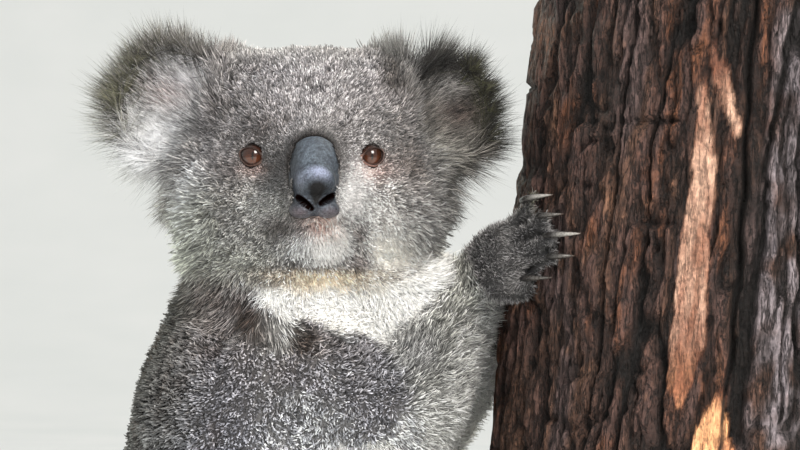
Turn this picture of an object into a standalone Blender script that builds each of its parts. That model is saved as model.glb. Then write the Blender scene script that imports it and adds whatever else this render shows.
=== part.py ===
"""Life-size koala clinging to a short cut length of tree trunk, on a plain display stand.

Metres, +Z up. The origin is the middle of the base's underside. The head looks along -Y, the
chest faces +X, where the trunk stands. Right and left are the animal's own.
"""

import math

import bmesh
import bpy
from mathutils import Matrix, Vector

MM = 0.001
GAP = 0.0003  # clearance left between pieces that touch

# Stand: a flat base and two short rods that carry the cut trunk.
BASE_LENGTH, BASE_DEPTH, BASE_THICK = 0.56, 0.38, 0.02
BASE_ROUND = 0.004
ROD_RADIUS, ROD_SPREAD = 0.011, 0.07

# Perch: a trunk that leans towards +X and tapers upwards.
TRUNK_BOTTOM, TRUNK_TOP = 0.07, 0.655
TRUNK_FOOT_X, TRUNK_Y = 0.078, 0.003
TRUNK_LEAN = math.radians(5)
TRUNK_FOOT_RADIUS, TRUNK_HEAD_RADIUS = 0.132, 0.114
TRUNK_SIDES, TRUNK_RINGS = 32, 5
LOBE_DEPTH = 0.0035  # how far the trunk's own flutes swell and sink
# Flutes: how many round the trunk, their twist with height, where they start and their strength.
LOBE_WAVES = ((3, 5, 0, 1.0), (7, -9, 1, 0.6))

# Pose: the torso's turn away from the head's direction, and the body's main places.
TORSO_TURN = math.radians(72)
HEAD = Vector((-0.1205, -0.005, 0.540))
HEAD_YAW = math.radians(3.5)
SHOULDERS = Vector((-0.132, 0.017, 0.425))
PELVIS = Vector((-0.143, 0.018, 0.200))
SHOULDER_HALF, SHOULDER_BACK, SHOULDER_RISE = 0.057, 0.010, 0.010
HIP_HALF, HIP_AHEAD = 0.050, 0.004
ELBOWS = {1: Vector((-0.070, -0.055, 0.400)), -1: Vector((-0.075, 0.115, 0.365))}
KNEES = {1: Vector((-0.072, -0.100, 0.240)), -1: Vector((-0.050, 0.133, 0.228))}
WRIST_LIFT, ANKLE_LIFT = 0.017, 0.020

# Spine: x, z and coated radius of the torso from the nape down to the rump.
SPINE_Y = 0.018
SPINE = (
    (-0.126, 0.482, 0.052),
    (-0.129, 0.462, 0.063),
    (-0.134, 0.425, 0.079),
    (-0.138, 0.380, 0.086),
    (-0.142, 0.320, 0.094),
    (-0.146, 0.255, 0.100),
    (-0.150, 0.200, 0.096),
    (-0.150, 0.165, 0.080),
)
# Broad forms of the torso, and the ruff on the chest.
RUMP, RUMP_SEMI_AXES = Vector((-0.150, 0.018, 0.186)), (0.088, 0.104, 0.072)
FLANKS, FLANK_SEMI_AXES = Vector((-0.145, 0.018, 0.265)), (0.096, 0.116, 0.140)
WITHERS, WITHERS_SEMI_AXES = Vector((-0.137, 0.018, 0.382)), (0.083, 0.106, 0.098)
RUFF, RUFF_SEMI_AXES = Vector((-0.086, 0.008, 0.450)), (0.056, 0.054, 0.048)

NECK_RADII = (0.070, 0.064, 0.060)
# The nape's lower end from the shoulders, and its upper end from the skull.
NAPE_LOW, NAPE_HIGH = Vector((0, 0, 0.02)), Vector((0, 0.01, -0.02))

# Coated radii along the limbs, from the root joint to the end of the bone.
UPPER_ARM_RADII = (0.045, 0.041, 0.033)
FOREARM_RADII = (0.031, 0.025, 0.019)
THIGH_RADII = (0.056, 0.048, 0.037)
SHANK_RADII = (0.036, 0.029, 0.021)

# Cuts: their width, where a limb's piece starts along its first bone, and the room round its coat.
CUT = 0.0004
LIMB_START, LIMB_ROOM = 0.30, 0.008
# Paw rooms: radius, rise and lift of both balls, and their wraps in degrees.
PAW_ROOM, PAW_ROOM_RISE, PAW_ROOM_LIFT = 0.044, 0.006, 0.004
HAND_ROOM_WRAPS, FOOT_ROOM_WRAPS = (12, 44), (8, 36)
BLOCK = 1.2  # a block larger than the whole animal
ARM, LEG = ("shoulder", "elbow", "wrist"), ("hip", "knee", "ankle")
ARM_PIECES, LEG_PIECES = ("arm_upper", "forearm", "hand"), ("thigh", "shank", "foot")

# Fused surfaces: voxel size, smoothing passes and the triangles that are kept.
TORSO_VOXEL, TORSO_SMOOTHING, TORSO_SWELL = 0.005, 14, 0.002
BODY_VOXEL, BODY_SMOOTHING, BODY_TRIANGLES = 0.0027, 6, 2150
NOSE_VOXEL, NOSE_SMOOTHING, NOSE_TRIANGLES = 0.0012, 4, 230
HEAD_REACH, PAW_REACH, FINE_KEPT = 0.08, 0.030, 0.62  # where and how much more finely the skin is kept

COLOURS = {
    "fur_grey": (0.23, 0.21, 0.20),
    "fur_pale": (0.62, 0.59, 0.54),
    "nose_leather": (0.05, 0.055, 0.065),
    "eye_brown": (0.16, 0.055, 0.02),
    "claw_horn": (0.05, 0.045, 0.045),
    "bark_brown": (0.13, 0.075, 0.05),
    "stand_black": (0.03, 0.03, 0.032),
    "stand_steel": (0.55, 0.55, 0.56),
}


# ---------------------------------------------------------------- frames and places


def forward():
    """The way the chest faces, level with the floor."""
    return Vector((math.sin(TORSO_TURN), -math.cos(TORSO_TURN), 0))


def rightward():
    """The animal's right-hand side, level with the floor."""
    return Vector((-math.cos(TORSO_TURN), -math.sin(TORSO_TURN), 0))


def head_frame():
    """Head coordinates to the world: x across, y backwards and z up from the middle of the skull."""
    return Matrix.Translation(HEAD) @ Matrix.Rotation(HEAD_YAW, 4, "Z")


def torso_frame(centre):
    """Torso coordinates to the world: x forwards from the chest, y to the left side and z up."""
    turn = Matrix((forward(), -rightward(), (0, 0, 1))).transposed()
    return Matrix.Translation(centre) @ turn.to_4x4()


def trunk_axis(height):
    """The point of the trunk's axis at this height."""
    run = (height - TRUNK_BOTTOM) * math.tan(TRUNK_LEAN)
    return Vector((TRUNK_FOOT_X + run, TRUNK_Y, height))


def trunk_radius(height):
    """The trunk's mean radius at this height."""
    share = (height - TRUNK_BOTTOM) / (TRUNK_TOP - TRUNK_BOTTOM)
    return TRUNK_FOOT_RADIUS + (TRUNK_HEAD_RADIUS - TRUNK_FOOT_RADIUS) * share


def on_trunk(angle, height, lift=0.0):
    """A point above the bark: angle in degrees, 0 at the front (-Y) and 90 on the koala's side (-X)."""
    turn = math.radians(angle)
    reach = trunk_radius(height) + lift
    return trunk_axis(height) - reach * Vector((math.sin(turn), math.cos(turn), 0))


def joints(side):
    """The limb joints of one side: +1 is the right, -1 the left, which holds on a little lower."""
    shoulder = SHOULDERS - forward() * SHOULDER_BACK + rightward() * side * SHOULDER_HALF
    return {
        "shoulder": shoulder + Vector((0, 0, SHOULDER_RISE)),
        "elbow": ELBOWS[side],
        "wrist": paw_place(HANDS[side], 0, 0, WRIST_LIFT),
        "hip": PELVIS + forward() * HIP_AHEAD + rightward() * side * HIP_HALF,
        "knee": KNEES[side],
        "ankle": paw_place(FEET[side], 0, 0, ANKLE_LIFT),
    }


# Where each paw holds: the wrap angle and height of its wrist or ankle, and the way its digits wrap.
HANDS = {1: (97, 0.4825, -1), -1: (112, 0.4450, 1)}
FEET = {1: (78, 0.150, -1), -1: (110, 0.150, 1)}

CLAW_SLOPE = 0.25  # how much of its digit's slant a claw keeps
# Claw: share of its length, height above the bark and radius in mm, from inside the digit over the hook.
CLAW_PROFILE = ((-0.25, 8.6, 2.5), (0.15, 9.4, 2.4), (0.5, 8.4, 1.9), (0.8, 5.2, 1.2), (1.0, 1.6, 0.5))
# Digit: share of its length and swell of its radius, and how high its line runs in radii.
DIGIT_PROFILE, DIGIT_LIFT = ((-0.35, 1.1), (0.0, 1.1), (0.5, 1.08), (1.0, 0.80)), 0.95

# Digits: wrap in degrees and rise in mm at root and tip, radius in mm, and the claw's length in mm.
HAND_DIGITS = {
    "1": (16, 24.0, 28.0, 38.5, 5.2, 17),
    "2": (22, 19.0, 37.0, 29.5, 5.2, 10),
    "3": (24, 10.0, 42.0, 19.0, 5.8, 16),
    "4": (24, 0.0, 43.5, 7.5, 5.8, 10),
    "5": (18, -9.0, 33.0, -4.5, 7.0, 15),
}
HAND_PADS, HAND_PAD_RADIUS = ((24, 17), (27, 6), (31, -7)), 0.0125
FOOT_PADS, FOOT_PAD_RADIUS = ((18, 18), (18, 7), (18, -4)), 0.016
FOOT_DIGITS = {
    "1": (12, -12.0, 22.0, -34.0, 9.5, 0),
    "2": (18, -4.0, 34.0, -9.0, 6.2, 9),
    "3": (18, 3.0, 36.0, 2.0, 6.2, 9),
    "4": (17, 12.0, 40.0, 16.0, 7.8, 15),
    "5": (15, 20.0, 35.0, 33.0, 7.6, 15),
}
HAND_MIDDLE, FOOT_MIDDLE = (32, 0.012), (24, 0.0)  # wrap and rise of the middle of the digits

# Pads: height and radius at wrist, middle and end in pad radii, and the middle's share of the rise.
PAD_LIFTS, PAD_SWELLS, PAD_BEND = (1.3, 1.0, 0.85), (1.25, 1.15, 0.9), 0.6


def paw_place(paw, wrap, rise, lift):
    """A point above the bark from a paw's wrist: wrap in degrees, rise and lift in metres."""
    angle, height, way = paw
    return on_trunk(angle + way * wrap, height + rise, lift)


# ---------------------------------------------------------------- making and joining meshes


def clear_scene():
    for obj in list(bpy.data.objects):
        bpy.data.objects.remove(obj)


def material(name):
    """A plain Principled material in one of the part's colours."""
    made = bpy.data.materials.get(name) or bpy.data.materials.new(name)
    made.use_nodes = True
    shader = made.node_tree.nodes["Principled BSDF"]
    shader.inputs["Base Color"].default_value = (*COLOURS[name], 1)
    shader.inputs["Roughness"].default_value = {"nose_leather": 0.45, "eye_brown": 0.05}.get(name, 0.8)
    shader.inputs["Metallic"].default_value = 1.0 if name == "stand_steel" else 0.0
    return made


def object_of(name, mesh, group, finish):
    """A named object with its own material, in the part's collection."""
    obj = bpy.data.objects.new(name, mesh)
    mesh.materials.clear()
    mesh.materials.append(material(finish))
    group.objects.link(obj)
    return obj


def mesh_from(bm, name):
    mesh = bpy.data.meshes.new(name)
    bm.to_mesh(mesh)
    bm.free()
    return mesh


def baked(mesh, *settings):
    """The mesh with modifiers applied. Each setting is a modifier type and its properties."""
    obj = bpy.data.objects.new("work", mesh)
    bpy.context.scene.collection.objects.link(obj)
    for kind, values in settings:
        modifier = obj.modifiers.new(kind, kind)
        for key, value in values.items():
            setattr(modifier, key, value)
    graph = bpy.context.evaluated_depsgraph_get()
    done = bpy.data.meshes.new_from_object(obj.evaluated_get(graph))
    bpy.data.objects.remove(obj)
    return done


def ellipsoid(centre, semi_axes, frame=None, segments=24, shape=None):
    """An ellipsoid in a frame's coordinates, with an optional function that moves its points."""
    bm = bmesh.new()
    bmesh.ops.create_uvsphere(bm, u_segments=segments, v_segments=segments // 2, radius=1)
    for vert in bm.verts:
        unit = vert.co.copy()
        vert.co = Vector(semi_axes) * unit + Vector(centre)
        if shape:
            vert.co += shape(unit)
    bm.transform(frame or Matrix.Identity(4))
    return mesh_from(bm, "ellipsoid")


def between(p, q, r, s, t):
    """The Catmull-Rom value at share t from q to r, with p before them and s after."""
    rise = (r - p) * t
    bend = (2 * p - 5 * q + 4 * r - s) * t**2
    twist = (3 * q - p - 3 * r + s) * t**3
    return 0.5 * (2 * q + rise + bend + twist)


def smooth_line(points, steps):
    """Catmull-Rom points through (place, radius) pairs, with this many steps between two of them."""
    rows = [(*place, radius) for place, radius in points]
    rows = [rows[0], *rows, rows[-1]]
    line = []
    for a, b, c, d in zip(rows, rows[1:], rows[2:], rows[3:]):
        for step in range(steps):
            line.append([between(*values, step / steps) for values in zip(a, b, c, d)])
    return [*line, list(rows[-1])]


def tube(points, steps=4, bevel_resolution=4, extra=0.0):
    """A closed tapering tube through (place, radius) pairs, fattened by extra."""
    line = smooth_line(points, steps)
    curve = bpy.data.curves.new("tube", "CURVE")
    curve.dimensions = "3D"
    curve.bevel_depth = 1.0
    curve.bevel_resolution = bevel_resolution
    curve.use_fill_caps = True
    spline = curve.splines.new("POLY")
    spline.points.add(len(line) - 1)
    for point, (x, y, z, radius) in zip(spline.points, line):
        point.co = (x, y, z, 1)
        point.radius = radius + extra
    guide = bpy.data.objects.new("tube", curve)
    bpy.context.scene.collection.objects.link(guide)
    graph = bpy.context.evaluated_depsgraph_get()
    mesh = bpy.data.meshes.new_from_object(guide.evaluated_get(graph))
    bpy.data.objects.remove(guide)
    bm = bmesh.new()
    bm.from_mesh(mesh)
    bmesh.ops.remove_doubles(bm, verts=bm.verts, dist=1e-6)
    bmesh.ops.recalc_face_normals(bm, faces=bm.faces)
    return mesh_from(bm, "tube")


def joined(meshes):
    """One mesh that holds all of these."""
    bm = bmesh.new()
    for mesh in meshes:
        bm.from_mesh(mesh)
    return mesh_from(bm, "joined")


def fused(meshes, voxel, smoothing, swell=0.0):
    """Overlapping shapes grown into one smooth closed skin. The swell makes up for what smoothing takes."""
    return baked(
        joined(meshes),
        ("REMESH", {"mode": "VOXEL", "voxel_size": voxel}),
        ("SMOOTH", {"factor": 0.5, "iterations": smoothing}),
        ("DISPLACE", {"strength": swell, "mid_level": 0.0}),
    )


def fine_places():
    """Places that keep more triangles, with their radii."""
    paws = [paw_place(HANDS[side], *HAND_MIDDLE, 0) for side in (1, -1)]
    paws += [paw_place(FEET[side], *FOOT_MIDDLE, 0) for side in (1, -1)]
    return [(HEAD, HEAD_REACH), *((place, PAW_REACH) for place in paws)]


def thinned(mesh, triangles):
    """The mesh brought down to about this many triangles, more of them kept on the head and paws."""
    obj = bpy.data.objects.new("work", mesh)
    bpy.context.scene.collection.objects.link(obj)
    fine = obj.vertex_groups.new(name="fine")
    places = fine_places()
    for vert in mesh.vertices:
        reach = min((vert.co - place).length / radius for place, radius in places)
        fine.add([vert.index], 1.0 - FINE_KEPT * min(1.0, max(0.0, 2.0 - reach)), "REPLACE")
    modifier = obj.modifiers.new("thin", "DECIMATE")
    modifier.ratio = triangles / (2 * len(mesh.polygons))
    modifier.vertex_group = fine.name
    graph = bpy.context.evaluated_depsgraph_get()
    done = bpy.data.meshes.new_from_object(obj.evaluated_get(graph))
    bpy.data.objects.remove(obj)
    return done


def largest_body(mesh):
    """The mesh without the loose crumbs that a cut can leave."""
    bm = bmesh.new()
    bm.from_mesh(mesh)
    left, bodies = set(bm.verts), []
    while left:
        body, front = set(), [left.pop()]
        while front:
            vert = front.pop()
            body.add(vert)
            near = {edge.other_vert(vert) for edge in vert.link_edges} & left
            left -= near
            front.extend(near)
        bodies.append(body)
    main_body = max(bodies, key=len)
    bmesh.ops.delete(bm, geom=[v for v in bm.verts if v not in main_body], context="VERTS")
    return mesh_from(bm, mesh.name)


def combined(mesh, tool, operation):
    """The mesh cut, joined or crossed with another closed mesh."""
    cutter = bpy.data.objects.new("cutter", tool)
    bpy.context.scene.collection.objects.link(cutter)
    done = baked(mesh, ("BOOLEAN", {"object": cutter, "operation": operation, "solver": "MANIFOLD"}))
    bpy.data.objects.remove(cutter)
    return largest_body(done)


def grown(mesh, by=GAP):
    """The mesh pushed out along its normals, as a cutter that leaves the clearance."""
    return baked(mesh, ("DISPLACE", {"strength": by, "mid_level": 0.0}))


# ---------------------------------------------------------------- cutting


def half_space(place, normal, gap=0.0):
    """A large block that fills the side of a plane towards the normal, set off from it by the gap."""
    bm = bmesh.new()
    bmesh.ops.create_cube(bm, size=BLOCK)
    turn = normal.to_track_quat("Z", "Y").to_matrix().to_4x4()
    bm.transform(Matrix.Translation(place + normal.normalized() * (BLOCK / 2 + gap)) @ turn)
    return mesh_from(bm, "half_space")


def split(body, place, normal):
    """The two pieces of the body before and beyond a plane, a thin cut apart."""
    before = combined(body, half_space(place, normal), "DIFFERENCE")
    return before, combined(body, half_space(place, normal, GAP), "INTERSECT")


def taken(body, region):
    """The piece of the body inside a convex region, and the body without it and a thin cut round it."""
    piece = combined(body, region, "INTERSECT")
    return piece, combined(body, grown(region, CUT), "DIFFERENCE")


def room(start, end, radii, planes):
    """The convex room round a bone: two balls wrapped together, kept on the far side of each plane."""
    bm = bmesh.new()
    for place, radius in zip((start, end), radii):
        ball = Matrix.Translation(place)
        bmesh.ops.create_uvsphere(bm, u_segments=12, v_segments=6, radius=radius, matrix=ball)
    bm = wrapped(bm)
    for place, normal in planes:
        every = [*bm.verts, *bm.edges, *bm.faces]
        bmesh.ops.bisect_plane(bm, geom=every, plane_co=place, plane_no=normal, clear_inner=True)
        bm = wrapped(bm)
    return mesh_from(bm, "room")


def wrapped(bm):
    """The closed convex hull of the points, which are used up."""
    hull = bmesh.new()
    for vert in bm.verts:
        hull.verts.new(vert.co)
    bm.free()
    bmesh.ops.remove_doubles(hull, verts=hull.verts, dist=1e-5)
    bmesh.ops.convex_hull(hull, input=hull.verts)
    bmesh.ops.delete(hull, geom=[vert for vert in hull.verts if not vert.link_faces], context="VERTS")
    bmesh.ops.recalc_face_normals(hull, faces=hull.faces)
    if hull.calc_volume(signed=True) < 0:
        bmesh.ops.reverse_faces(hull, faces=hull.faces)
    return hull


def prism(start, axis, length, half_width):
    """A square block that begins at a place and runs along an axis."""
    bm = bmesh.new()
    bmesh.ops.create_cube(bm, size=1)
    bmesh.ops.scale(bm, vec=(2 * half_width, 2 * half_width, length), verts=bm.verts)
    turn = axis.to_track_quat("Z", "Y").to_matrix().to_4x4()
    bm.transform(Matrix.Translation(start + axis.normalized() * (length / 2)) @ turn)
    return mesh_from(bm, "prism")


# ---------------------------------------------------------------- perch and stand


def trunk_mesh():
    """A tapered, leaning trunk with shallow flutes down its sides."""
    bm = bmesh.new()
    height = TRUNK_TOP - TRUNK_BOTTOM
    bmesh.ops.create_cone(bm, cap_ends=True, segments=TRUNK_SIDES, radius1=1, radius2=1, depth=height)
    uprights = [e for e in bm.edges if abs(e.verts[0].co.z - e.verts[1].co.z) > height / 2]
    bmesh.ops.subdivide_edges(bm, edges=uprights, cuts=TRUNK_RINGS, use_grid_fill=True)
    for vert in bm.verts:
        level = vert.co.z + (TRUNK_BOTTOM + TRUNK_TOP) / 2
        angle = math.atan2(-vert.co.x, -vert.co.y)
        vert.co = on_trunk(math.degrees(angle), level, trunk_lobe(angle, level))
    return mesh_from(bm, "trunk")


def trunk_lobe(angle, height):
    """How far the flutes stand proud of the mean radius at this place."""
    swell = 0
    for flutes, twist, start, strength in LOBE_WAVES:
        swell += strength * math.sin(flutes * angle + twist * height + start)
    return LOBE_DEPTH * swell


def base_mesh():
    bm = bmesh.new()
    bmesh.ops.create_cube(bm, size=1)
    bmesh.ops.scale(bm, vec=(BASE_LENGTH, BASE_DEPTH, BASE_THICK), verts=bm.verts)
    bmesh.ops.translate(bm, vec=(0, 0, BASE_THICK / 2), verts=bm.verts)
    return baked(mesh_from(bm, "base"), ("BEVEL", {"width": BASE_ROUND, "segments": 2}))


def rod_mesh(x):
    """A short upright rod between the base and the trunk's sawn foot."""
    bm = bmesh.new()
    low, high = BASE_THICK + GAP, TRUNK_BOTTOM - GAP
    bmesh.ops.create_cone(
        bm, cap_ends=True, segments=24, radius1=ROD_RADIUS, radius2=ROD_RADIUS, depth=high - low
    )
    bmesh.ops.translate(bm, vec=(x, TRUNK_Y, (low + high) / 2), verts=bm.verts)
    return mesh_from(bm, "rod")


# ---------------------------------------------------------------- head

# Head forms in mm: centre and semi-axes, x across, y backwards, z up.
SKULL_FORMS = {
    "cranium": ((0, 8, 8), (67, 62, 55)),
    "crown": ((0, 2, 24), (58, 44, 42)),
    "muzzle": ((0, -36, -20), (31, 38, 29)),
    "bridge": ((0, -44, 4), (17, 30, 24)),
    "chin": ((0, -34, -40), (27, 30, 21)),
}
PAIRED_FORMS = {
    "temple": ((35, 6, 28), (33, 38, 38)),
    "cheek": ((35, -6, -19), (39, 44, 39)),
    "jowl": ((22, -14, -36), (28, 34, 24)),
}
# Ears: centre, semi-axes and cup depth in mm, turn outwards and lean in degrees. The right one is larger.
EARS = {
    1: ((-75, 4, 33), (42, 13, 50), 20, 16, 16),
    -1: ((73, 6, 28), (38, 13, 46), 20, 16, -12),
}
EYE_X, EYE_Y, EYE_Z, EYE_RADIUS = 31.8, -39.5, 4.6, 7.4
NOSE_FORMS = {
    "bridge_pad": ((0, -66, 2), (17.0, 13, 13)),
    "tip": ((0, -74, -9), (14.5, 11, 15)),
    "septum": ((0, -73, -21), (9, 9, 9)),
    "wing_right": ((-8, -73, -23.5), (8, 9.5, 8)),
    "wing_left": ((8, -73, -23.5), (8, 9.5, 8)),
}
NOSTRIL_X, NOSTRIL_Y, NOSTRIL_Z = 10.8, -82.0, -20.5
NOSTRIL_SEMI_AXES, NOSTRIL_SLANT = (5.6, 6.5, 3.2), 28
# Head cuts: an ear's root in mm, the way it points and its block; the throat in mm and the neck's rise.
EAR_ROOT, EAR_OUT, EAR_BLOCK = (55, 4, 34), (0.10, 0.28), (0.10, 0.085)
THROAT, THROAT_TILT, NECK_RISE = (0, 0, -56), Vector((0, -0.28, 1)), Vector((0, 0, 0.034))


def in_mm(values):
    return tuple(MM * value for value in values)


def flipped(place):
    """The same place on the other side of the head."""
    return (-place[0], *place[1:])


def ear_mesh(side):
    """A thick cupped disc whose rim curls forwards."""
    centre, semi_axes, cup, turn, lean = EARS[side]
    own = (
        head_frame()
        @ Matrix.Translation(in_mm(centre))
        @ Matrix.Rotation(math.radians(-side * turn), 4, "Z")
        @ Matrix.Rotation(math.radians(lean), 4, "Y")
    )

    def curl(unit):
        return Vector((0, -MM * cup * (unit.x**2 + unit.z**2), 0))

    return ellipsoid((0, 0, 0), in_mm(semi_axes), own, 28, curl)


def head_meshes():
    frame = head_frame()
    forms = list(SKULL_FORMS.values())
    for centre, semi_axes in PAIRED_FORMS.values():
        forms += [(centre, semi_axes), (flipped(centre), semi_axes)]
    return [ellipsoid(in_mm(c), in_mm(s), frame) for c, s in forms] + [ear_mesh(1), ear_mesh(-1)]


def nose_mesh():
    """The bare nose: a tall pad over a rounded tip, with two slanting nostrils above its wings."""
    frame = head_frame()
    forms = [ellipsoid(in_mm(c), in_mm(s), frame) for c, s in NOSE_FORMS.values()]
    whole = thinned(fused(forms, NOSE_VOXEL, NOSE_SMOOTHING), NOSE_TRIANGLES)
    for side in (-1, 1):
        place = Matrix.Translation(in_mm((side * NOSTRIL_X, NOSTRIL_Y, NOSTRIL_Z)))
        slant = Matrix.Rotation(math.radians(-side * NOSTRIL_SLANT), 4, "Y")
        hollow = ellipsoid((0, 0, 0), in_mm(NOSTRIL_SEMI_AXES), frame @ place @ slant, 12)
        whole = combined(whole, hollow, "DIFFERENCE")
    return whole


def eye_mesh(side, extra=0.0):
    centre = in_mm((-side * EYE_X, EYE_Y, EYE_Z))
    radius = MM * EYE_RADIUS + extra
    return ellipsoid(centre, (radius,) * 3, head_frame(), 14)


# ---------------------------------------------------------------- torso and limbs


def torso_meshes():
    """The trunk of the body along its spine, broader than deep, with the neck and the chest's ruff."""
    spine = [(Vector((x, SPINE_Y, z)), radius) for x, z, radius in SPINE]
    broad = (
        (RUMP, RUMP_SEMI_AXES),
        (FLANKS, FLANK_SEMI_AXES),
        (WITHERS, WITHERS_SEMI_AXES),
    )
    swells = [ellipsoid((0, 0, 0), semi_axes, torso_frame(place)) for place, semi_axes in broad]
    ruff = ellipsoid(RUFF, RUFF_SEMI_AXES)
    places = (SHOULDERS + NAPE_LOW, (SHOULDERS + HEAD) / 2, HEAD + NAPE_HIGH)
    nape = tube(list(zip(places, NECK_RADII)))
    return [tube(spine, 4, 8), ruff, nape, *swells]


def limb_meshes(side):
    """Arm and leg as tapering tubes from joint to joint."""
    at = joints(side)
    tubes = []
    for root, middle, end, first, second in (
        ("shoulder", "elbow", "wrist", UPPER_ARM_RADII, FOREARM_RADII),
        ("hip", "knee", "ankle", THIGH_RADII, SHANK_RADII),
    ):
        tubes.append(
            tube(
                [
                    (at[root], first[0]),
                    ((at[root] + at[middle]) / 2, first[1]),
                    (at[middle], first[2]),
                    ((at[middle] + at[end]) / 2, second[1]),
                    (at[end], second[2]),
                ]
            )
        )
    return tubes


def paw_meshes(side):
    """Palm and sole pads and the digits, wrapped round the trunk."""
    meshes = []
    for paw, digits, pads, radius in (
        (HANDS[side], HAND_DIGITS, HAND_PADS, HAND_PAD_RADIUS),
        (FEET[side], FOOT_DIGITS, FOOT_PADS, FOOT_PAD_RADIUS),
    ):
        for reach, rise in pads:
            lifts = [lift * radius for lift in PAD_LIFTS]
            places = (
                paw_place(paw, 0, 0, lifts[0]),
                paw_place(paw, reach / 2, rise * MM * PAD_BEND, lifts[1]),
                paw_place(paw, reach, rise * MM, lifts[2]),
            )
            meshes.append(tube(list(zip(places, (swell * radius for swell in PAD_SWELLS)))))
        for digit in digits.values():
            meshes.append(tube(digit_line(paw, digit)))
    return meshes


def digit_line(paw, digit):
    """Places and radii along a digit, from inside the pad to its tip on the bark."""
    root_wrap, root_rise, tip_wrap, tip_rise, radius, _ = digit
    line = []
    for share, swell in DIGIT_PROFILE:
        wrap = root_wrap + (tip_wrap - root_wrap) * share
        rise = root_rise + (tip_rise - root_rise) * share
        line.append((paw_place(paw, wrap, rise * MM, radius * MM * DIGIT_LIFT), radius * MM * swell))
    return line


def claw_line(paw, digit):
    """Places and radii along a claw, from inside the digit's tip, over a hook, to the bark."""
    root_wrap, root_rise, tip_wrap, tip_rise, radius, length = digit
    slope = CLAW_SLOPE * (tip_rise - root_rise) / (tip_wrap - root_wrap)
    degree = math.radians(1) * trunk_radius(paw[1]) / MM
    line = []
    for share, lift, thick in CLAW_PROFILE:
        wrap = tip_wrap + share * length / degree
        rise = tip_rise + slope * (wrap - tip_wrap)
        line.append((paw_place(paw, wrap, rise * MM, lift * MM), thick * MM))
    return line


# ---------------------------------------------------------------- the whole koala


def bend_normal(a, b, c):
    """The normal of the plane that mitres the bend at b."""
    return (b - a).normalized() + (c - b).normalized()


def cut_limbs(body, side, name):
    """Pieces of both limbs of one side, cut from the body at mitred planes through the joints."""
    at = joints(side)
    pieces = {}
    for joint_names, first, second, paw, wraps, labels in (
        (ARM, UPPER_ARM_RADII, FOREARM_RADII, HANDS[side], HAND_ROOM_WRAPS, ARM_PIECES),
        (LEG, THIGH_RADII, SHANK_RADII, FEET[side], FOOT_ROOM_WRAPS, LEG_PIECES),
    ):
        root, middle, end = (at[joint] for joint in joint_names)
        near, far = (paw_place(paw, wrap, PAW_ROOM_RISE, PAW_ROOM_LIFT) for wrap in wraps)
        start = root.lerp(middle, LIMB_START)
        bend, turn = bend_normal(root, middle, end), bend_normal(middle, end, near)
        rooms = (
            room(near, far, (PAW_ROOM, PAW_ROOM), [(end, turn)]),
            room(middle, end, grown_radii(second), [(middle, bend), (end, -turn)]),
            room(start, middle, grown_radii(first), [(start, middle - root), (middle, -bend)]),
        )
        for label, region in zip(reversed(labels), rooms):
            pieces[f"{label}_{name}"], body = taken(body, region)
    return pieces, body


def grown_radii(radii):
    """The room's radii at both ends of a bone."""
    return radii[0] + LIMB_ROOM, radii[2] + LIMB_ROOM


def cut_head(body):
    """Ears, head and neck, cut from the body."""
    frame = head_frame()
    spin = frame.to_3x3()
    pieces = {}
    for side, name in ((1, "right"), (-1, "left")):
        out = spin @ Vector((-side, *EAR_OUT)).normalized()
        root = frame @ Vector(in_mm((-side * EAR_ROOT[0], *EAR_ROOT[1:])))
        pieces[f"ear_{name}"], body = taken(body, prism(root, out, *EAR_BLOCK))
    up = (HEAD - SHOULDERS).normalized()
    throat = frame @ Vector(in_mm(THROAT))
    tilt = up + (spin @ THROAT_TILT).normalized()
    body, pieces["head"] = split(body, throat, tilt)
    body, pieces["neck"] = split(body, SHOULDERS + NECK_RISE, up)
    return pieces, body


def koala(group):
    """The furred body, modelled whole and parted with thin cuts, with eyes, nose and claws set into it."""
    trunk_of_body = torso_meshes() + limb_meshes(1) + limb_meshes(-1)
    forms = [fused(trunk_of_body, TORSO_VOXEL, TORSO_SMOOTHING, TORSO_SWELL)]
    forms += head_meshes() + paw_meshes(1) + paw_meshes(-1)
    body = thinned(fused(forms, BODY_VOXEL, BODY_SMOOTHING), BODY_TRIANGLES)
    body = combined(body, grown(trunk_mesh(), 2 * GAP), "DIFFERENCE")

    nose = nose_mesh()
    body = combined(body, grown(nose), "DIFFERENCE")
    object_of("nose", nose, group, "nose_leather")
    for side, name in ((1, "right"), (-1, "left")):
        body = combined(body, eye_mesh(side, GAP), "DIFFERENCE")
        object_of(f"eye_{name}", eye_mesh(side), group, "eye_brown")
        for label, paw, digits in (("hand", HANDS[side], HAND_DIGITS), ("foot", FEET[side], FOOT_DIGITS)):
            for number, digit in digits.items():
                if digit[-1]:
                    line = claw_line(paw, digit)
                    body = combined(body, tube(line, 1, 1, GAP), "DIFFERENCE")
                    object_of(f"claw_{label}_{name}_{number}", tube(line, 1, 1), group, "claw_horn")

    pieces = {}
    for side, name in ((1, "right"), (-1, "left")):
        more, body = cut_limbs(body, side, name)
        pieces |= more
    more, pieces["torso"] = cut_head(body)
    pieces |= more
    for name, mesh in pieces.items():
        object_of(name, mesh, group, "fur_pale" if name == "neck" else "fur_grey")


def stand(group):
    """The base, its two rods and the sawn length of trunk that they carry."""
    object_of("perch_trunk", trunk_mesh(), group, "bark_brown")
    object_of("stand_base", base_mesh(), group, "stand_black")
    for name, way in (("stand_rod_left", -1), ("stand_rod_right", 1)):
        object_of(name, rod_mesh(TRUNK_FOOT_X + way * ROD_SPREAD), group, "stand_steel")


def main():
    clear_scene()
    group = bpy.data.collections.new("koala")
    bpy.context.scene.collection.children.link(group)
    koala(group)
    stand(group)


main()
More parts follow.
